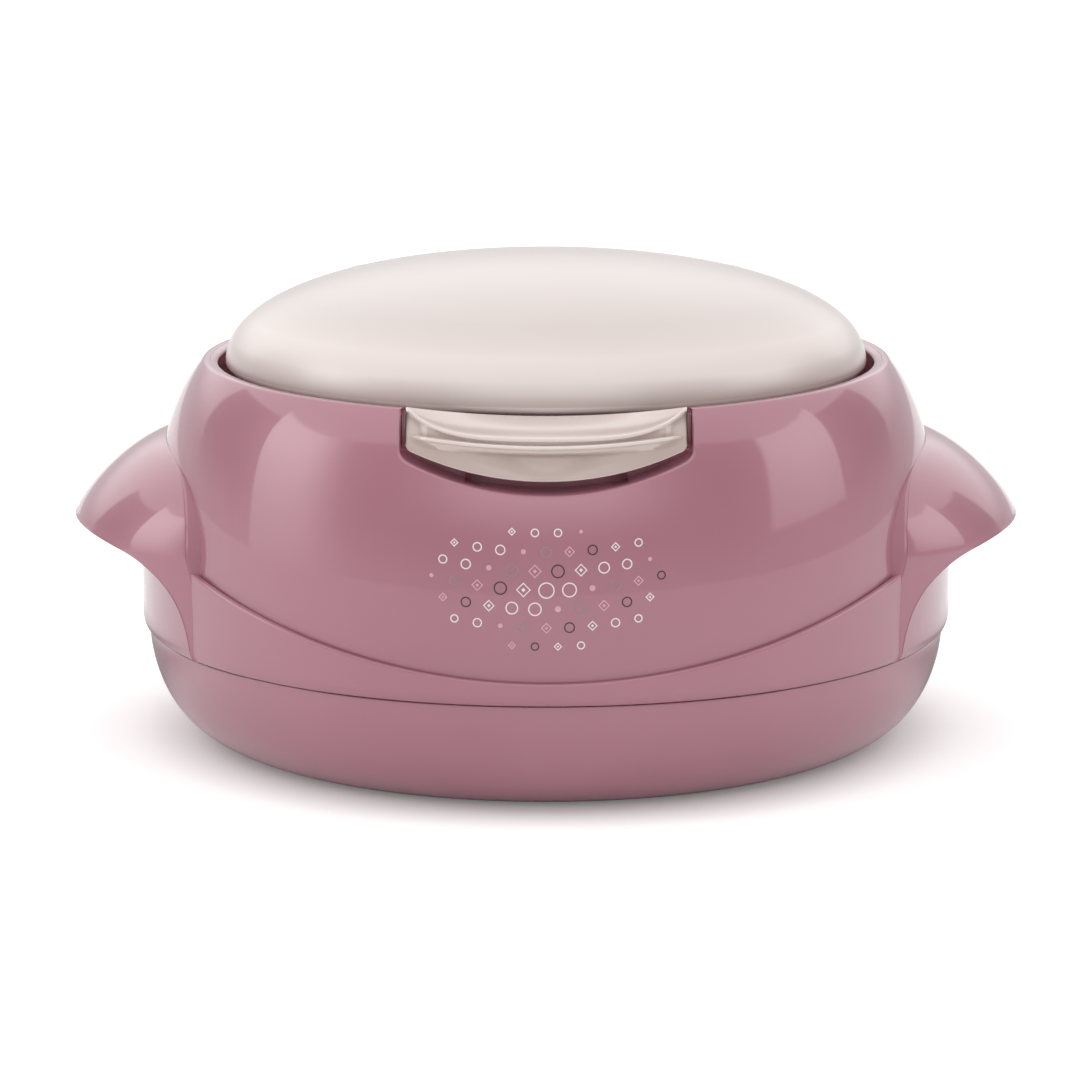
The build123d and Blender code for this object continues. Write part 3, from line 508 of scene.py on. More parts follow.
def in_groove(x):
    """Whether x lies in one of the pocket's two upright grooves, which take the latch's ribs."""
    return (np.abs(x) > 19.05) & (np.abs(x) < 23.35)


def on_shoulder(angle, z):
    return polar(shoulder_radius(z), angle, z)


def shoulder_normal(points):
    """Outward direction of the shoulder's surface at points on it."""
    curve = shoulder_curve()
    slope = unit(np.gradient(curve, axis=0))
    out_r = np.interp(points[:, 2], curve[:, 1], slope[:, 1])
    out_z = np.interp(points[:, 2], curve[:, 1], -slope[:, 0])
    r = np.hypot(points[:, 0], points[:, 1])
    return np.stack([out_r * points[:, 0] / r, out_r * points[:, 1] / r, out_z], axis=1)


def shoulder_grids():
    """The shell's outside in three grids: below the pocket, and the rest below and above its corners."""
    groove_sides = np.array([19.0, 19.1, 23.3, 23.4]) / WINDOW_HALF
    across = np.unique(np.concatenate([np.linspace(-1, 1, 97), groove_sides, -groove_sides]))
    sides = np.linspace(corner_angle, 2 * pi - corner_angle, 521)
    # below the pocket
    edge_x = WINDOW_HALF * across
    edge_z = window_z(edge_x)
    edge_angle = np.arcsin(edge_x / shoulder_radius(edge_z))
    rise = np.linspace(0, 1, 90)[:, None]
    share = rise ** 1.5
    low_angle = across * corner_angle
    z = BAND_BOTTOM + (edge_z - BAND_BOTTOM) * rise
    front = on_shoulder(low_angle * (1 - share) + edge_angle * share, z)
    # the rest of the way round
    z = BAND_BOTTOM + (WINDOW_CORNER_Z - BAND_BOTTOM) * rise
    lower = on_shoulder(sides + 0 * rise, z + 0 * sides)
    z = np.linspace(WINDOW_CORNER_Z, SHOULDER_TOP[1], UPPER_ROWS)[:, None]
    edge = np.arcsin(WINDOW_HALF / shoulder_radius(z)) - corner_angle
    near = np.clip((sides - corner_angle) / radians(40), 0, 1)
    far = np.clip((2 * pi - corner_angle - sides) / radians(40), 0, 1)
    near, far = (1 - (3 * v * v - 2 * v ** 3) for v in (near, far))
    upper = on_shoulder(sides + edge * (near - far), z + 0 * sides)
    top_angle = np.arctan2(upper[-1][:, 0], -upper[-1][:, 1])
    roll = bezier((SHOULDER_TOP, (106.95, 118.25), (106.1, 118.3), (105.03, 118.15)), 9)[1:]
    roll = np.vstack([roll, [(105.02, 118.1), (105.02, 117.6), (105.02, 116.4)]])
    lip = [polar(r, top_angle, z) for r, z in roll]
    return front, lower, np.concatenate([upper, np.array(lip)])


def pocket_walls(front, lower, upper):
    """Walls from the pocket's edge straight back to its rear wall.

    The edge's corners and its lip are rounded, and the edges of the three grids move with them.
    """
    left = upper[:UPPER_ROWS, -1][::-1]
    bottom = front[-1]
    right = upper[:UPPER_ROWS, 0]
    edge = np.vstack([left[:-1], bottom, right[1:]])
    corner_a, corner_b = len(left) - 1, len(left) - 1 + len(bottom) - 1
    for _ in range(14):
        mid = edge.copy()
        mid[1:-1] = 0.25 * edge[:-2] + 0.5 * edge[1:-1] + 0.25 * edge[2:]
        for c in (corner_a, corner_b):
            near = np.exp(-(np.linalg.norm(edge - edge[c], axis=1) / 3.2) ** 2)[:, None]
            edge = edge + near * (mid - edge)
    r = shoulder_radius(edge[:, 2])
    edge[:, 1] = -np.sqrt(r ** 2 - edge[:, 0] ** 2)
    out = shoulder_normal(edge)
    into = np.cross(out, unit(np.gradient(edge, axis=0)))
    into = into * np.sign(np.sum(into * (np.array([0, 0, 112.0]) - edge * (1, 0, 1)), axis=1))[:, None]
    start, end = edge - WINDOW_EDGE * into, edge + WINDOW_EDGE * np.array([0, 1.0, 0])
    rows = [round_corner(start, edge, end, t) for t in np.linspace(0, 1, 7)]
    n = len(left) - 1
    upper[:UPPER_ROWS, -1] = start[:n + 1][::-1]
    front[-1] = start[n:n + len(bottom)]
    upper[:UPPER_ROWS, 0] = start[n + len(bottom) - 1:]
    lower[-1, 0], lower[-1, -1] = front[-1, -1], front[-1, 0]
    back = end.copy()
    back[:, 1] = np.minimum(-np.sqrt(np.maximum((POCKET_BACK - 2.2) ** 2 - back[:, 0] ** 2, 0)), 0)
    # the floor has the two grooves for the latch's ribs too
    groove = in_groove(edge[:, 0]) & (edge[:, 2] < 101)
    for t, sunk in ((0.1, 0), (0.2, 0), (0.207, 1), (0.6, 1), (1, 1)):
        rows.append(end + (back - end) * t - np.array([0, 0, 1.0]) * (sunk * groove)[:, None])
    return np.array(rows)


def pocket_rear():
    """Rear wall of the pocket with the two upright grooves that take the latch's ribs."""
    x = np.concatenate([np.linspace(-WINDOW_HALF, -23.4, 12), np.linspace(-23.3, -19.1, 4),
                        np.linspace(-19.0, 19.0, 24), np.linspace(19.1, 23.3, 4),
                        np.linspace(23.4, WINDOW_HALF, 12)])

    def row(radius, z):
        return np.stack([x, -np.sqrt(radius ** 2 - x ** 2), z + 0 * x], axis=1)

    deep = POCKET_BACK - GROOVE_DEPTH * in_groove(x)
    rows = []
    for share in np.linspace(0, 1, 9):
        rows.append(row(deep, window_z(x) - 1.0 + (POCKET_SILL_Z - 0.3 - window_z(x) + 1.0) * share))
    return np.array(rows + [row(deep - 0.3, POCKET_SILL_Z), row(POCKET_SILL_BACK, POCKET_SILL_Z)])


def side_plate(outline, x_from, x_to, soft=0.5, bore=None):
    """Plate whose outline is drawn as (y, z), with rounded edges, across x_from to x_to.

    A bore (y, z, radius) runs right through it; without one the two ends are flat.
    """
    outline = np.asarray(outline, float)
    ahead = np.roll(outline, -1, axis=0) - np.roll(outline, 1, axis=0)
    inward = unit(np.stack([-ahead[:, 1], ahead[:, 0]], axis=1))
    area = np.sum(outline[:, 0] * np.roll(outline[:, 1], -1) - np.roll(outline[:, 0], -1) * outline[:, 1])
    if area < 0:
        inward = -inward
    quarter = np.linspace(0, pi / 2, 5)
    rows = [(x_from + soft * (1 - cos(a)), outline + inward * soft * (1 - sin(a))) for a in quarter]
    rows += [(x_to - soft * (1 - cos(a)), outline + inward * soft * (1 - sin(a))) for a in quarter[::-1]]
    if bore:
        middle = np.array(bore[:2])
        spoke = outline - middle
        wall = middle + bore[2] * spoke / np.linalg.norm(spoke, axis=1)[:, None]
        rows = [(x_from + 0.3, wall), (x_from, wall + (rows[0][1] - wall) * 0.1)] + rows
        rows += [(x_to, wall + (rows[-1][1] - wall) * 0.1), (x_to - 0.3, wall), (x_from + 0.3, wall)]
    grid = np.array([np.column_stack([np.full(len(p) + 1, x), np.vstack([p, p[:1]])]) for x, p in rows])
    return [grid] if bore else [grid, grid[0, :-1], grid[-1, :-1]]


HINGE = (118.0, 122.0)
HINGE_BORE = (*HINGE, 2.05)
KNUCKLE_RADIUS = 5.5
RIM_SAG = 0.9
RIM_OUTER_RADIUS = 106.0
SAG_FROM_Z = 100.0
SAG_FULL_Z = 118.0


def arc(middle, radius, start, end, count):
    """Points along an arc, its ends given in degrees."""
    turn = np.radians(np.linspace(start, end, count))
    return np.array(middle) + radius * np.stack([np.cos(turn), np.sin(turn)], axis=1)


def arm_outline():
    """Arm and knuckle of the body's hinge in side view."""
    # the arm's rear edge leaves room for the hinge cover's foot when the lid is open
    arm = [(111.5, 117.0), (106.5, 114.5), (106.0, 110.5), (107.5, 107.0)]
    return np.vstack([arc(HINGE, KNUCKLE_RADIUS, -127, 192, 46), arm])


def settle(grid):
    """The rim of the moulding sinks a little towards the latch, which pulls on it."""
    grid = np.array(grid, float)
    ahead = np.clip(-grid[..., 1] / RIM_OUTER_RADIUS, 0, 1)
    top = np.clip((grid[..., 2] - SAG_FROM_Z) / (SAG_FULL_Z - SAG_FROM_Z), 0, 1)
    grid[..., 2] -= RIM_SAG * ahead ** 2 * top * top * (3 - 2 * top)
    return grid


def paint(piece, material, is_there):
    """Give a second material to the faces whose middle, x, y and z in millimetres, passes the test."""
    piece.data.materials.append(material)
    for face in piece.data.polygons:
        if is_there(*(face.center * 1000)):
            face.material_index = 1


def in_pocket(x, y, z):
    return y < 0 and abs(x) < WINDOW_HALF + 0.02 and np.hypot(x, y) < shoulder_radius(z) - 1.0


front, lower, upper = shoulder_grids()
walls = pocket_walls(front, lower, upper)
arm = side_plate(arm_outline(), 18, 32, 0.5, HINGE_BORE)
shoulder_skins = [*map(settle, (front, lower, upper, walls)), pocket_rear(), *arm, *map(mirrored, arm)]
shoulder = add_piece("shoulder_body", shoulder_skins, "body", pearl_pink, "shoulder_shell",
                     40)
# the pearl gloss covers only the outside, so the pocket has no pearl flake; its pink is also brighter and
# redder than the body's, painted light standing in for the light bounced about inside the recess
plain_bounce_lit_pink = gloss_plastic("plain_pink_painted_bounce_light", (0.54, 0.20, 0.265), (0.50, 0.18, 0.24), 0.0)
paint(shoulder, plain_bounce_lit_pink, in_pocket)

# ---- Printed panel -----------------------------------------------------------
# A small screen-printed ornament of rings and dots on the front, in white, rose, grey and near-black ink.
# The ink stands a few hundredths of a millimetre proud of the plastic.
PRINT_MIDDLE_Z = 69.0
PRINT_PITCH = 6.6
PRINT_ROW = 0.82 * PRINT_PITCH
PRINT_HALF_WIDTH = 37.0
PRINT_HALF_HEIGHT = 17.5
MOTIF_RADIUS = 2.35
MOTIF_SHRINK = 1.2
DIAMOND_LINE = 0.42
RING_LINE = 0.36
DOT_HOLE = 0.02
PRINT_SAG = 0.0032
INK_HEIGHT = 0.03
INK_COLOURS = {"white": (0.86, 0.80, 0.80), "rose": (0.70, 0.40, 0.46), "grey": (0.30, 0.24, 0.26),
               "black": (0.030, 0.024, 0.028)}


def ink(name, colour):
    """Matt printing ink with the faint mottling of a screen's mesh."""
    material, shader, place = new_material(name)
    vary_tone(shader, add_noise(place, Scale=1800), "Fac", colour, 0.82)
    set_inputs(shader, Roughness=0.32)
    return material


def printed_shape(x, z, inner, outer, corners):
    """Outlined or filled motif round (x, z): a ring, or a diamond when it has four corners."""
    turn = np.linspace(0, 2 * pi, corners + 1)
    section = ((inner, -INK_HEIGHT), (inner, INK_HEIGHT), (outer, INK_HEIGHT), (outer, -INK_HEIGHT))
    rows = []
    for radius, lift in section:
        px, pz = x + radius * np.cos(turn), z + radius * np.sin(turn)
        py = -np.sqrt((shoulder_radius(pz) + lift) ** 2 - px ** 2)
        rows.append(np.stack([px, py, pz], axis=1))
    return np.array(rows)


motifs = {colour: [] for colour in INK_COLOURS}
for row in range(-3, 4):
    for step in range(-6, 7):
        # a honeycomb lattice whose rows sag towards the middle, thinning out towards its edge
        x = (step + 0.5 * (row % 2)) * PRINT_PITCH
        z = PRINT_MIDDLE_Z + PRINT_ROW * row + PRINT_SAG * x * x
        away = sqrt((x / PRINT_HALF_WIDTH) ** 2 + (PRINT_ROW * row / PRINT_HALF_HEIGHT) ** 2)
        if away > 1.02:
            continue
        radius = MOTIF_RADIUS - MOTIF_SHRINK * away
        beat = (2 * step + 3 * row) % 7
        tint = ("white", "rose", "white", "black", "rose", "white", "grey")[beat]
        if beat in (1, 5):
            shapes = ((radius - DIAMOND_LINE, radius, 4), (DOT_HOLE, 0.30 * radius, 4))
        elif beat == 4:
            shapes = ((DOT_HOLE, 0.45 * radius, 24),)
        else:
            shapes = ((radius - RING_LINE, radius, 32),)
        motifs[tint] += [printed_shape(x, z, *shape) for shape in shapes]
for colour, value in INK_COLOURS.items():
    add_piece(f"print_{colour}", motifs[colour], "body", ink(f"{colour}_ink", value))

# ---- Rim ring and steel bowl -------------------------------------------------
# The rim ring closes the top of the body and clamps the bowl's flange; it is notched at the front for the
# latch. The bowl is deep-drawn stainless steel with a satin, lathe-brushed inside.


def spun_steel(name, tint):
    """Satin stainless steel with the fine circular marks of brushing on a turntable."""
    material, shader, place = new_material(name)
    nodes = material.node_tree.nodes
    split = nodes.new("ShaderNodeSeparateXYZ")
    link(place, "Object", split, "Vector")
    flat = nodes.new("ShaderNodeCombineXYZ")
    link(split, "X", flat, "X")
    link(split, "Y", flat, "Y")
    radius = nodes.new("ShaderNodeVectorMath")
    radius.operation = "LENGTH"
    link(flat, "Vector", radius, "Vector")
    ring = nodes.new("ShaderNodeCombineXYZ")
    link(radius, "Value", ring, "X")
    link(split, "Z", ring, "Y")
    marks = add_node(nodes, "ShaderNodeTexNoise", Scale=2200, Detail=3)
    link(ring, "Vector", marks, "Vector")
    vary_roughness(shader, marks, 0.20, 0.38)
    add_bump(shader, marks, "Fac", 0.25, 0.0001)
    set_inputs(shader, Base_Color=(*tint, 1), Metallic=1.0)
    return material


rim_roll = bezier(((105.0, 118.14), (104.0, 118.05), (102.45, 117.9), (102.4, 116.4)), 9)
rim_outline = soften(np.vstack([rim_roll, [(101.2, 105.5), (92.4, 105.5), (92.4, 103.5), (103.5, 103.5),
                                           (103.5, 115.7), (105.0, 115.7)]]), 0.08, 50)
sill_outline = soften([(101.1, 105.3), (103.5, 105.3), (103.5, 103.5), (92.4, 103.5), (92.4, 105.5),
                       (101.0, 105.5)], 0.2)
notch = np.degrees(asin(WINDOW_HALF / 104.0))
rim = settle(lathe(rim_outline, notch, 360 - notch))
sill = lathe(sill_outline, -notch, notch, 60)
collar = add_piece("rim_collar", [rim, rim[:-1, 0], rim[:-1, -1], sill], "body", pearl_pink,
                   "rim_ring")
# the rim's inner wall beside the dome takes the same brighter, redder pink: painted bounce light in that gap
paint(collar, plain_bounce_lit_pink, lambda x, y, z: np.hypot(x, y) < 102.4)
dress("inner_bowl", spun_steel("satin_bowl_steel", (0.62, 0.61, 0.60)))

# ---- Foam --------------------------------------------------------------------
# Rigid polyurethane foam, poured between the shells; it fills the body and the lid and is seen only when
# they are taken apart.


def cell_foam(name, colour):
    """Foam with cells of about a millimetre."""
    material, shader, place = new_material(name)
    cells = add_node(material.node_tree.nodes, "ShaderNodeTexVoronoi", Scale=900)
    link(place, "Object", cells, "Vector")
    vary_tone(shader, cells, "Distance", colour, 0.7)
    add_bump(shader, cells, "Distance", 0.5, 0.0003)
    set_inputs(shader, Roughness=0.85)
    return material


foam = cell_foam("rigid_foam", (0.80, 0.68, 0.40))
dress("body_foam", foam)
dress("lid_foam", foam)

# ---- Lid ---------------------------------------------------------------------
# A cream domed moulding with a small rolled edge; its skirt drops inside the rim. Two ears on the skirt
# hold the latch's pin. The pan-shaped liner, its stopper and the white seal close it from below.
CREAM = (0.675, 0.595, 0.568)
CREAM_DEEP = (0.645, 0.555, 0.525)
# painted light and shade: tints that multiply the dome's colour by the way it faces, from its undersides (0)
# to its top (1); upright faces come out darker and sloping ones lighter than the colour itself
CREAM_PAINTED_LIGHT_AND_SHADE = ((0, (0.95, 0.93, 0.92)), (0.06, (0.74, 0.68, 0.66)), (0.45, (1, 1, 1)),
                (0.5, (1.06, 1.06, 1.06)), (0.78, (1.08, 1.08, 1.08)), (0.93, (0.88, 0.87, 0.865)))
LATCH_PIVOT = (-103.6, 110.8)
LATCH_PIVOT_BORE = (*LATCH_PIVOT, 1.3)
LATCH_BARREL = 2.9
dome_outer = bezier(((0, 149.4), (54.9, 149.4), (100.2, 138.5), (100.2, 117.2)), 90)
dome_inner = bezier(((97.9, 117.2), (97.9, 136.2), (54.9, 147.1), (0, 147.1)), 40)
dome_lip = [(99.95, 116.45), (99.5, 116.0), (98.8, 115.8), (97.6, 115.8), (97.6, 108.8), (95.6, 108.8),
            (95.6, 117.2)]
dome_outline = soften(np.vstack([dome_outer, dome_lip, dome_inner]), 0.35)
# lug on the skirt that holds one end of the latch's pin, in side view
ear_outline = np.vstack([arc(LATCH_PIVOT, LATCH_BARREL, 60, 270, 30),
                         [(-90, 107.9), (-90, 110.8), (-101.4, 110.8)]])
ear = side_plate(ear_outline, 30, 34, 0.3, LATCH_PIVOT_BORE)
cream_gloss = gloss_plastic("cream_gloss_plastic", CREAM, CREAM_DEEP, 0.0, 0.34, 0.22, 0.6, CREAM_PAINTED_LIGHT_AND_SHADE)
add_piece("lid_dome", [lathe(dome_outline), *ear, *map(mirrored, ear)], "lid", cream_gloss,
          "lid_shell")
dress("lid_liner", pale_satin)
dress("lid_fill_plug", pale_satin)
dress("lid_seal", satin_plastic("white_silicone", (0.74, 0.73, 0.70), 0.5))

# ---- Hinge bridge, pin and screws --------------------------------------------
# A separate cream cover, arched from side to side, that runs from the dome back over the hinge. Four
# screws hold it from inside the lid, and its knuckles turn on a steel pin with the body's.


def bright_steel(name):
    """Zinc-plated steel, drawn along its length."""
    material, shader, place = new_material(name)
    nodes = material.node_tree.nodes
    stretch = add_node(nodes, "ShaderNodeMapping", Scale=(60, 2500, 2500))
    link(place, "Object", stretch, "Vector")
    drawn = add_node(nodes, "ShaderNodeTexNoise", Scale=1.0)
    link(stretch, "Vector", drawn, "Vector")
    vary_roughness(shader, drawn, 0.18, 0.36)
    set_inputs(shader, Base_Color=(0.60, 0.60, 0.61, 1), Metallic=1.0)
    return material


plated = bright_steel("plated_steel")
for node in ("hinge_pin", "latch_pin", "hinge_screws"):
    dress(node, plated)

BRIDGE_HALF_WIDTH = 66.5
BRIDGE_FRONT_Y = 58.0
BRIDGE_REAR_Y = 126.5
BRIDGE_BOTTOM_Z = 120.8
BRIDGE_WALL = 2.3
BRIDGE_TOP_Z = 141.05
BRIDGE_TOP_Y = 80
BRIDGE_SLOPE = 0.13
BRIDGE_ARCH = 740
BRIDGE_ROUND = 4.0
BRIDGE_FRONT_CORNER = 5.0
BRIDGE_REAR_CORNER = 20.0
bridge_back = bezier(((82, 144.6), (110, 138), (BRIDGE_REAR_Y, 130), (BRIDGE_REAR_Y, 122)), 400)


def bridge_top(x, y, inset=0.0):
    """Height of the cover: arched from side to side, sloping down to the rear and falling away there."""
    arch = BRIDGE_TOP_Z - x ** 2 / BRIDGE_ARCH - BRIDGE_SLOPE * (y - BRIDGE_TOP_Y)
    back = np.interp(y, bridge_back[:, 0], bridge_back[:, 1], left=150)
    blend = 0.5
    return -blend * np.log(np.exp((120 - arch) / blend) + np.exp((120 - back) / blend)) + 120 - inset


def bridge_ring(inset):
    """Plan outline, moved in: a rectangle with small front and large rear corners."""
    half, front_y, rear_y = BRIDGE_HALF_WIDTH - inset, BRIDGE_FRONT_Y + inset, BRIDGE_REAR_Y - inset
    plan = ((1, front_y, BRIDGE_FRONT_CORNER, -90), (1, rear_y, BRIDGE_REAR_CORNER, 0),
            (-1, rear_y, BRIDGE_REAR_CORNER, 90), (-1, front_y, BRIDGE_FRONT_CORNER, 180))
    points = []
    for sign_x, corner_y, radius, start in plan:
        radius = max(radius - inset, 0.4)
        side_y = corner_y + radius if corner_y == front_y else corner_y - radius
        points.append(arc((sign_x * (half - radius), side_y), radius, start, start + 90, 15))
    corners = points + points[:1]
    ring = []
    for corner, following, steps in zip(corners, corners[1:], (20, 36, 20, 36)):
        ring.append(corner)
        ring.append(corner[-1] + (following[0] - corner[-1]) * np.linspace(0, 1, steps + 1)[1:-1, None])
    ring = np.vstack(ring)
    return np.vstack([ring, ring[:1]])


def bridge_skin(inset):
    """Rows from the middle of the cover's top out to its edge, and down its wall."""
    edge_round = BRIDGE_ROUND - inset
    deepest = (BRIDGE_REAR_Y - BRIDGE_FRONT_Y) / 2 - inset - 0.3
    insets = list(np.linspace(deepest, edge_round, 9))
    insets += [edge_round * (1 - sin(a)) for a in np.linspace(0, pi / 2, 9)[1:]]
    rows = []
    for d in insets:
        ring = bridge_ring(inset + d)
        drop = edge_round - sqrt(max(edge_round ** 2 - max(edge_round - d, 0) ** 2, 0))
        z = np.maximum(bridge_top(ring[:, 0], ring[:, 1], inset) - drop, BRIDGE_BOTTOM_Z + 0.4)
        rows.append(np.column_stack([ring, z]))
    # the innermost loop closes to a line
    closed = rows[0].copy()
    closed[:, 1] = 0.5 * (BRIDGE_FRONT_Y + BRIDGE_REAR_Y)
    closed[:, 2] = bridge_top(closed[:, 0], closed[:, 1], inset)
    rows.insert(0, closed)
    edge = rows[-1]
    for share in (0.35, 0.7, 1.0):
        rows.append(np.column_stack([edge[:, :2], edge[:, 2] + (BRIDGE_BOTTOM_Z + 0.4 - edge[:, 2]) * share]))
    return rows


outside, inside = bridge_skin(0.0), bridge_skin(BRIDGE_WALL)
foot = [np.column_stack([bridge_ring(d), np.full(len(outside[0]), BRIDGE_BOTTOM_Z + h)])
        for d, h in ((0.12, 0.12), (0.4, 0), (BRIDGE_WALL - 0.4, 0), (BRIDGE_WALL - 0.12, 0.12))]
# the knuckles' webs reach up to just under the cover's top
knuckle_outline = np.vstack([arc(HINGE, KNUCKLE_RADIUS, 79.5, -223.3, 44),
                             [(114.0, 128.5), (114.0, 132.8), (119.0, 130.2), (119.0, 129)]])
bridge_grids = [np.array(outside + foot + inside[::-1])]
for low_x, high_x in ((-46, -32.5), (-17.5, 17.5), (32.5, 46)):
    bridge_grids += side_plate(knuckle_outline, low_x, high_x, 0.5, HINGE_BORE)
add_piece("hinge_cover", bridge_grids, "lid", cream_gloss, "hinge_bridge", 40)

# ---- Front latch -------------------------------------------------------------
# The flap that clips the lid shut: one cream moulding that swings on a pin between the lid's ears. Two
# ridges run across it for the fingertips, and its lower half follows the body's curve over the pocket.
LATCH_HALF = 40.7
LATCH_REAR_Y = -101.0
LATCH_WALL = 2.4
LATCH_RIB = 2.0
LATCH_CORNER_Z = 106.8
LATCH_BOTTOM_Z = 99.2
LATCH_CORNER_ROUND = 1.6
LATCH_EDGE = 0.35
LATCH_REAR_Z = 115.7
UPPER_RIDGE_Z = 111.6
LOWER_RIDGE_Z = 109.1
# in plan the upper ridge is part of an ellipse, and the lower one of a circle
UPPER_RIDGE_MIDDLE_Y = -55.7
UPPER_RIDGE_DEPTH = 60.8
UPPER_RIDGE_HALF = 62.6
LOWER_RIDGE_MIDDLE_Y = -40.3
LOWER_RIDGE_RADIUS = 77.4
EAR_ROOM_FRONT_Y = -107.0
# rise of the flap's top above a straight slope, from its rear edge (0) to the first ridge (1)
LATCH_TOP_LIFT = ((0.2, 0.30), (0.4, 0.58), (0.56, 0.72), (0.66, 0.72), (0.71, 0.60), (0.75, 0.30),
                  (0.79, -0.15), (0.83, -0.48), (0.87, -0.58), (0.91, -0.50), (0.95, -0.22), (0.98, -0.04),
                  (1.0, 0.0))
# painted light and shade: tints that multiply the flap's colour by the way it faces, from its undersides (0)
# to its top (1); faces turned forward come out darker than its top
LATCH_PAINTED_LIGHT_AND_SHADE = ((0, (0.95, 0.93, 0.92)), (0.06, (0.70, 0.64, 0.62)), (0.35, (0.70, 0.64, 0.62)),
                (0.92, (1, 1, 1)))
latch_arc = arc_radius(LATCH_HALF, LATCH_CORNER_Z - LATCH_BOTTOM_Z)


def latch_bottom(x):
    """Height of the flap's lower edge: a shallow arc with rounded ends."""
    past = max(abs(x) - (LATCH_HALF - LATCH_CORNER_ROUND), 0)
    corner = LATCH_CORNER_ROUND - sqrt(max(LATCH_CORNER_ROUND ** 2 - past ** 2, 0))
    return LATCH_BOTTOM_Z + latch_arc - sqrt(latch_arc ** 2 - x ** 2) + corner


def body_y(x, z, inset=0.0):
    """Depth of the body's surface, moved in by inset, at (x, z) on its front."""
    return -sqrt((float(shoulder_radius(z)) - inset) ** 2 - x ** 2)


def forward_of(a, b, soft=0.45):
    """The more forward of two depths, changing over smoothly where they cross."""
    return -soft * float(np.logaddexp(-a / soft, -b / soft))


def rear_edge_z(x):
    """Height of the flap's rear edge, which rises towards its ends."""
    return LATCH_REAR_Z + 2.6 * (x / 40) ** 2


def ridge_lines(x):
    """Depth and height of the two ridges' front lines at x."""
    upper_z = min(UPPER_RIDGE_Z + 5.6 * (abs(x) / 39) ** 5, rear_edge_z(x) - 0.5)
    ellipse_y = UPPER_RIDGE_MIDDLE_Y - UPPER_RIDGE_DEPTH * sqrt(1 - (x / UPPER_RIDGE_HALF) ** 2)
    lower_y = LOWER_RIDGE_MIDDLE_Y - sqrt(LOWER_RIDGE_RADIUS ** 2 - x ** 2)
    lower_z = LOWER_RIDGE_Z + 1.4 * (x / 38) ** 2
    return forward_of(ellipse_y, body_y(x, upper_z)), upper_z, lower_y, lower_z


def latch_front(x):
    """Section (y, z) of the flap's outside at x, from its rear edge over both ridges to its lower edge."""
    rear_z = rear_edge_z(x)
    upper_y, upper_z, lower_y, lower_z = ridge_lines(x)
    points = [(LATCH_REAR_Y, rear_z - 0.35), (LATCH_REAR_Y - 0.1, rear_z - 0.1),
              (LATCH_REAR_Y - 0.35, rear_z)]
    # sloping top that drops by a step into a narrow valley just behind the first ridge
    height = min(1, max(LATCH_REAR_Y - upper_y - 2, 0) / 11)
    bead = 0.25 + 0.55 * height
    start, crest = np.array(points[-1]), np.array([upper_y + 1.25 * bead, upper_z - 0.1])
    for t, lift in LATCH_TOP_LIFT:
        points.append(start + (crest - start) * t + np.array([0, lift * height]))
    # first ridge
    points += [(upper_y + bead * (1 - cos(a)), upper_z - 0.45 + bead * sin(a))
               for a in np.radians((110, 85, 60, 35, 10, -15, -38))]
    points.append((upper_y + bead * 0.45 + 0.2, upper_z - 0.45 - 0.85 * bead))
    # wall between the ridges; towards the ends it comes forward to the body's curve
    fade_out = min(max((39.2 - abs(x)) / 4, 0), 1) ** 0.5
    ridge = 0.5 * fade_out
    wall_top = points[-1][1]
    for t in np.linspace(0.12, 1, 7):
        z = wall_top + (lower_z + ridge - wall_top) * t
        wall = forward_of(upper_y + 0.9, body_y(x, z))
        # in front of the lid's ears it stands out enough to keep its thickness
        swell = EAR_ROOM_FRONT_Y - 0.35 + 0.62 * max(z - 111.8, 0) + max(abs(x) - 34.5, 0)
        points.append((forward_of(wall, swell, 0.2), z))
    # second ridge, which dies out before the ends, and the shaded step under it
    for y, z in ((0.45, ridge), (0.12, 0.6 * ridge), (0, 0), (0.12, -0.6 * ridge - 0.02),
                 (0.5, -ridge - 0.04), (1.15, -ridge - 0.4)):
        on_body = body_y(x, lower_z + z)
        points.append((fade_out * (lower_y + y) + (1 - fade_out) * on_body, lower_z + z))
    # then the face
    face_top = lower_z - 2.7
    points.append((min(points[-1][0], body_y(x, lower_z - 1.6)), lower_z - 1.7))
    bottom = latch_bottom(x)
    for t in np.linspace(0, 1, 12):
        z = face_top + (bottom + 0.4 - face_top) * t
        # inside two creases that fan out from the middle of the lower edge the face is pressed in a little
        inside_crease = 5.5 + 2.8 * (z - 99.5) - abs(x)
        points.append((body_y(x, z) + 0.055 * min(max(inside_crease, 0), 12), z))
    face_y = points[-1][0]
    points += [(face_y + 0.08, bottom + 0.15), (face_y + 0.3, bottom + 0.02),
               (face_y + LATCH_WALL - 0.5, bottom)]
    return np.array(points, float)


def latch_back(x, is_ear_room, is_rib):
    """Section of the flap's inside at x, from its lower edge up to the barrel and the rear edge."""
    inset = LATCH_WALL + (LATCH_RIB if is_rib else 0)
    points = [(body_y(x, z, inset), z) for z in np.linspace(latch_bottom(x) + 0.4, 107.4, 6)]
    if is_ear_room:
        points = [(max(y, EAR_ROOM_FRONT_Y) if z > 104 else y, z) for y, z in points]
        points += [(EAR_ROOM_FRONT_Y, z) for z in (108.4, 109, 110.4, 111.8)]
        points += [(-106.0, 113.4), (-104.6, 114.2), (-102.4, 114.3), (-101.6, 114.8), (-101.0, 115.0)]
    else:
        # near the flap's ends its front is closer, and the barrel's front merges with it
        barrel = arc(LATCH_PIVOT, LATCH_BARREL, 215, 372, 9)
        points += [(max(y, body_y(x, z) + 1.6), z) for y, z in barrel]
    return np.array(points, float)


def on_ridge(x, y, z):
    """Whether a point of the flap's surface lies on one of the two ridges."""
    upper_y, upper_z, lower_y, lower_z = ridge_lines(x)
    on_upper = upper_z - 1.05 < z < upper_z + 0.5 and y < upper_y + 1.0
    on_lower = abs(z - lower_z) < 0.45 and y < lower_y + 0.42 and abs(x) < 37
    return on_upper or on_lower


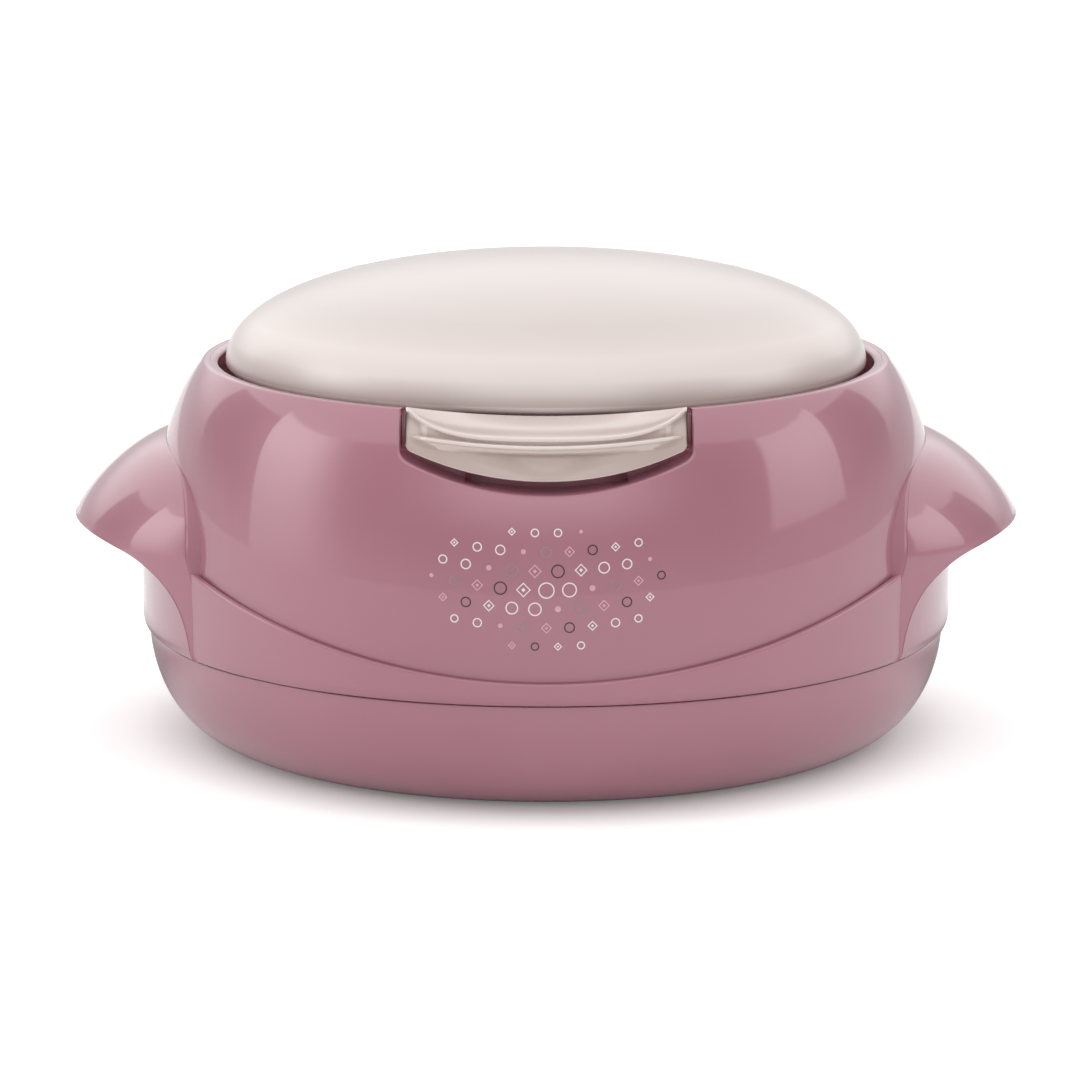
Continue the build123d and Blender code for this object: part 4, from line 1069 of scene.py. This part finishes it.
# the flap's sections lie closer where the ribs and the ear rooms begin and end, and at its ends
half_columns = [0, 3, 6, 9, 12, 15, 17.5, 19.69, 19.7, 21.2, 22.7, 22.71, 24.5, 27, 29.59, 29.6, 32, 34.4,
                34.41, 35.5, 36.3, 37, 37.6, 38.2, 38.8, 39.2, 39.6, 40.0, 40.3, 40.42, 40.54, 40.64,
                LATCH_HALF]
sections = []
for x in [-x for x in half_columns[:0:-1]] + half_columns:
    ear_room, rib = 29.595 < abs(x) < 34.405, 19.695 < abs(x) < 22.705
    loop = np.vstack([latch_front(x), latch_back(x, ear_room, rib)])
    # rounded side edges
    past = min(max(abs(x) - 40.3, 0) / 0.4, 1)
    ahead = np.roll(loop, -1, axis=0) - np.roll(loop, 1, axis=0)
    inward = np.stack([-ahead[:, 1], ahead[:, 0]], axis=1)
    inward = inward / np.maximum(np.linalg.norm(inward, axis=1), 1e-6)[:, None]
    loop = loop + inward * LATCH_EDGE * (1 - sqrt(1 - past ** 2))
    sections.append(np.column_stack([np.full(len(loop) + 1, x), np.vstack([loop, loop[:1]])]))
latch_grid = np.array(sections)
latch_gloss = gloss_plastic("latch_cream_plastic", (0.66, 0.555, 0.52), (0.62, 0.515, 0.48), 0.0, 0.34, 0.05,
                            1.0, LATCH_PAINTED_LIGHT_AND_SHADE)
flap = add_piece("latch_flap", [latch_grid, latch_grid[0, :-1], latch_grid[-1, :-1]], "latch", latch_gloss,
                 "front_latch", 30)
# painted highlight: the two ridges take a lighter cream, left out of the flap's painted shade, and a slightly
# smoother gloss as fingers polish them
ridge_painted_highlight = gloss_plastic("ridge_cream_painted_highlight", (0.74, 0.63, 0.60), (0.70, 0.59, 0.56), 0.0, 0.3, 0.03)
paint(flap, ridge_painted_highlight, on_ridge)

# ---- Camera and floor --------------------------------------------------------
# The casserole stands on a large sheet of white card, which shows only its soft shadow. The camera looks
# down on it from a little above the rim, through a long lens; its focus is in widths of the picture.
CAMERA_LOCATION = (-0.0017, -1.242, 0.309)
CAMERA_PITCH = 11.4
CAMERA_FOCUS = 4000 / 1081
SENSOR = 36
camera_data = bpy.data.cameras.new("camera")
camera_data.sensor_width = SENSOR
camera_data.lens = SENSOR * CAMERA_FOCUS
camera = bpy.data.objects.new("camera", camera_data)
camera.location = CAMERA_LOCATION
camera.rotation_euler = (radians(90 - CAMERA_PITCH), 0, 0)
bpy.context.scene.collection.objects.link(camera)
bpy.context.scene.camera = camera

floor_mesh = bmesh.new()
bmesh.ops.create_grid(floor_mesh, x_segments=2, y_segments=2, size=6)
floor_data = bpy.data.meshes.new("floor")
floor_mesh.to_mesh(floor_data)
floor_mesh.free()
floor = bpy.data.objects.new("floor", floor_data)
bpy.context.scene.collection.objects.link(floor)


def compute(operation, *values):
    """Result of a Math node on numbers and other nodes' outputs."""
    tree = next(value.id_data for value in values if not isinstance(value, (int, float)))
    node = tree.nodes.new("ShaderNodeMath")
    node.operation = operation
    for socket, value in zip(node.inputs, values):
        if isinstance(value, (int, float)):
            socket.default_value = value
        else:
            tree.links.new(value, socket)
    return node.outputs[0]


def product(*values):
    whole = values[0]
    for value in values[1:]:
        whole = compute("MULTIPLY", whole, value)
    return whole


def fade(value, start, end, low=0.0, high=1.0):
    """Runs smoothly from low at start to high at end."""
    ends = (low, high) if start < end else (high, low)
    node = add_node(value.id_data.nodes, "ShaderNodeMapRange", From_Min=min(start, end),
                    From_Max=max(start, end), To_Min=ends[0], To_Max=ends[1])
    node.interpolation_type = "SMOOTHSTEP"
    value.id_data.links.new(value, node.inputs["Value"])
    return node.outputs["Result"]


sheet, sheet_shader, spot = new_material("white_sheet")
sheet_nodes = sheet.node_tree.nodes
set_inputs(sheet_shader, Roughness=0.9, Specular_IOR_Level=0.0)
# painted light: seen directly, the sheet glows on top of its lit colour, less within about 13 centimetres of
# the middle, so that only the shadow close round the foot stays grey
ray = sheet_nodes.new("ShaderNodeLightPath")
glow = sheet_nodes.new("ShaderNodeEmission")
reach = sheet_nodes.new("ShaderNodeVectorMath")
reach.operation = "LENGTH"
link(spot, "Object", reach, "Vector")
away = reach.outputs["Value"]
sheet.node_tree.links.new(fade(away, 0.114, 0.134, 0.15, 0.29), glow.inputs["Strength"])
# painted shade: in the casserole's own reflections the sheet's colour drops to a third close behind it
place = sheet_nodes.new("ShaderNodeSeparateXYZ")
link(spot, "Object", place, "Vector")
dim = product(fade(away, 0.26, 0.18), fade(place.outputs["Y"], -0.03, 0.05), ray.outputs["Is Glossy Ray"])
white = mix_colours(sheet_nodes, (0.90, 0.90, 0.90), (0.33, 0.33, 0.33))
sheet.node_tree.links.new(dim, white.inputs["Factor"])
link(white, 2, sheet_shader, "Base Color")
both = sheet_nodes.new("ShaderNodeAddShader")
seen = sheet_nodes.new("ShaderNodeMixShader")
link(sheet_shader, "BSDF", both, 0)
link(glow, "Emission", both, 1)
link(ray, "Is Camera Ray", seen, "Fac")
link(sheet_shader, "BSDF", seen, 1)
link(both, "Shader", seen, 2)
link(seen, "Shader", sheet_nodes["Material Output"], "Surface")
floor_data.materials.append(sheet)

# ---- Studio ------------------------------------------------------------------
# A white backdrop, a tall soft box at each side, a third above the camera, a broad ceiling light and a dim
# room. They stand far off, so they are painted on the world by bearing from the front and height, in degrees.
BACKDROP_LOW = 0.62
BACKDROP_HIGH = 1.3
ROOM = 0.25
ROOM_AT_FLOOR = 0.65
ROOM_RIGHT = 0.86
CEILING = 1.35
FRONT_BOX = 1.7
SIDE_BOX_LOW = 1.2
SIDE_BOX_HIGH = 3.2
RIGHT_BOX = 0.88
world = bpy.data.worlds.new("studio")
bpy.context.scene.world = world
world.use_nodes = True
sky = world.node_tree.nodes


def over(below, mask, level):
    """Light of a given level where the mask is 1, and what was there before where it is 0."""
    return compute("ADD", product(below, compute("SUBTRACT", 1.0, mask)), product(mask, level))


direction = sky.new("ShaderNodeTexCoord")
split = sky.new("ShaderNodeSeparateXYZ")
link(direction, "Generated", split, "Vector")
right_of, behind, above = (split.outputs[axis] for axis in "XYZ")
bearing = compute("DEGREES", compute("ARCTAN2", right_of, compute("MULTIPLY", behind, -1.0)))
height = compute("DEGREES", compute("ARCSINE", above))
side = compute("ABSOLUTE", bearing)
# the side boxes lean: their edges drift outwards by 0.3 degrees for each degree of height
lean = compute("SUBTRACT", side, compute("MULTIPLY", height, 0.3))
box_level = fade(height, -5, 30, SIDE_BOX_LOW, SIDE_BOX_HIGH)
left_box = product(fade(bearing, 1, -1), fade(lean, 94, 92.5), fade(lean, 54, 76), fade(height, 40, 38))
right_level = product(box_level, RIGHT_BOX)
right_box = product(fade(bearing, -1, 1), fade(lean, 96.5, 95), fade(lean, 64, 67), fade(height, 42, 40),
                    fade(height, 6, 7.5))
front_box = product(fade(side, 50, 15), fade(height, 10, 24), fade(height, 48, 40))
# the backdrop begins behind the boxes, further round with height, and reaches forward above them; its
# foot is dim
low_height = compute("MINIMUM", compute("MAXIMUM", height, 0.0), 10.5)
edge = compute("SUBTRACT", side, compute("MULTIPLY", low_height, 0.6))
wing = product(fade(side, 98, 104), fade(compute("ADD", height, compute("MULTIPLY", side, 0.15)), 46.6, 48.4))
backdrop = product(compute("MAXIMUM", fade(edge, 123.3, 126.3), wing), fade(height, 60, 48))
backdrop_level = fade(height, 5, 16, BACKDROP_LOW, BACKDROP_HIGH)
# the ceiling light is an oval, wider than deep, seen through the plane one metre up
flat_x, flat_y = (compute("DIVIDE", value, compute("MAXIMUM", above, 0.01)) for value in (right_of, behind))
oval = compute("SQRT", compute("ADD", compute("POWER", compute("DIVIDE", flat_x, 1.45), 2.0),
                               compute("POWER", compute("DIVIDE", flat_y, 0.80), 2.0)))
ceiling = product(fade(oval, 1.06, 0.97), fade(above, 0.0, 0.1))
level = fade(height, 12, 0, ROOM, ROOM_AT_FLOOR)
for mask, strength in ((backdrop, backdrop_level), (front_box, FRONT_BOX), (left_box, box_level),
                       (right_box, right_level), (ceiling, CEILING)):
    level = over(level, mask, strength)
# the room's right-hand half is dimmer
level = product(level, fade(right_of, 0.25, 0.9, 1.0, ROOM_RIGHT))
# behind everything the camera itself sees plain white
seen_ray = sky.new("ShaderNodeLightPath").outputs["Is Camera Ray"]
world.node_tree.links.new(over(level, seen_ray, 1.0), sky["Background"].inputs["Strength"])
sky["Background"].inputs["Color"].default_value = (1, 1, 1, 1)
bpy.context.scene.view_settings.view_transform = "Standard"
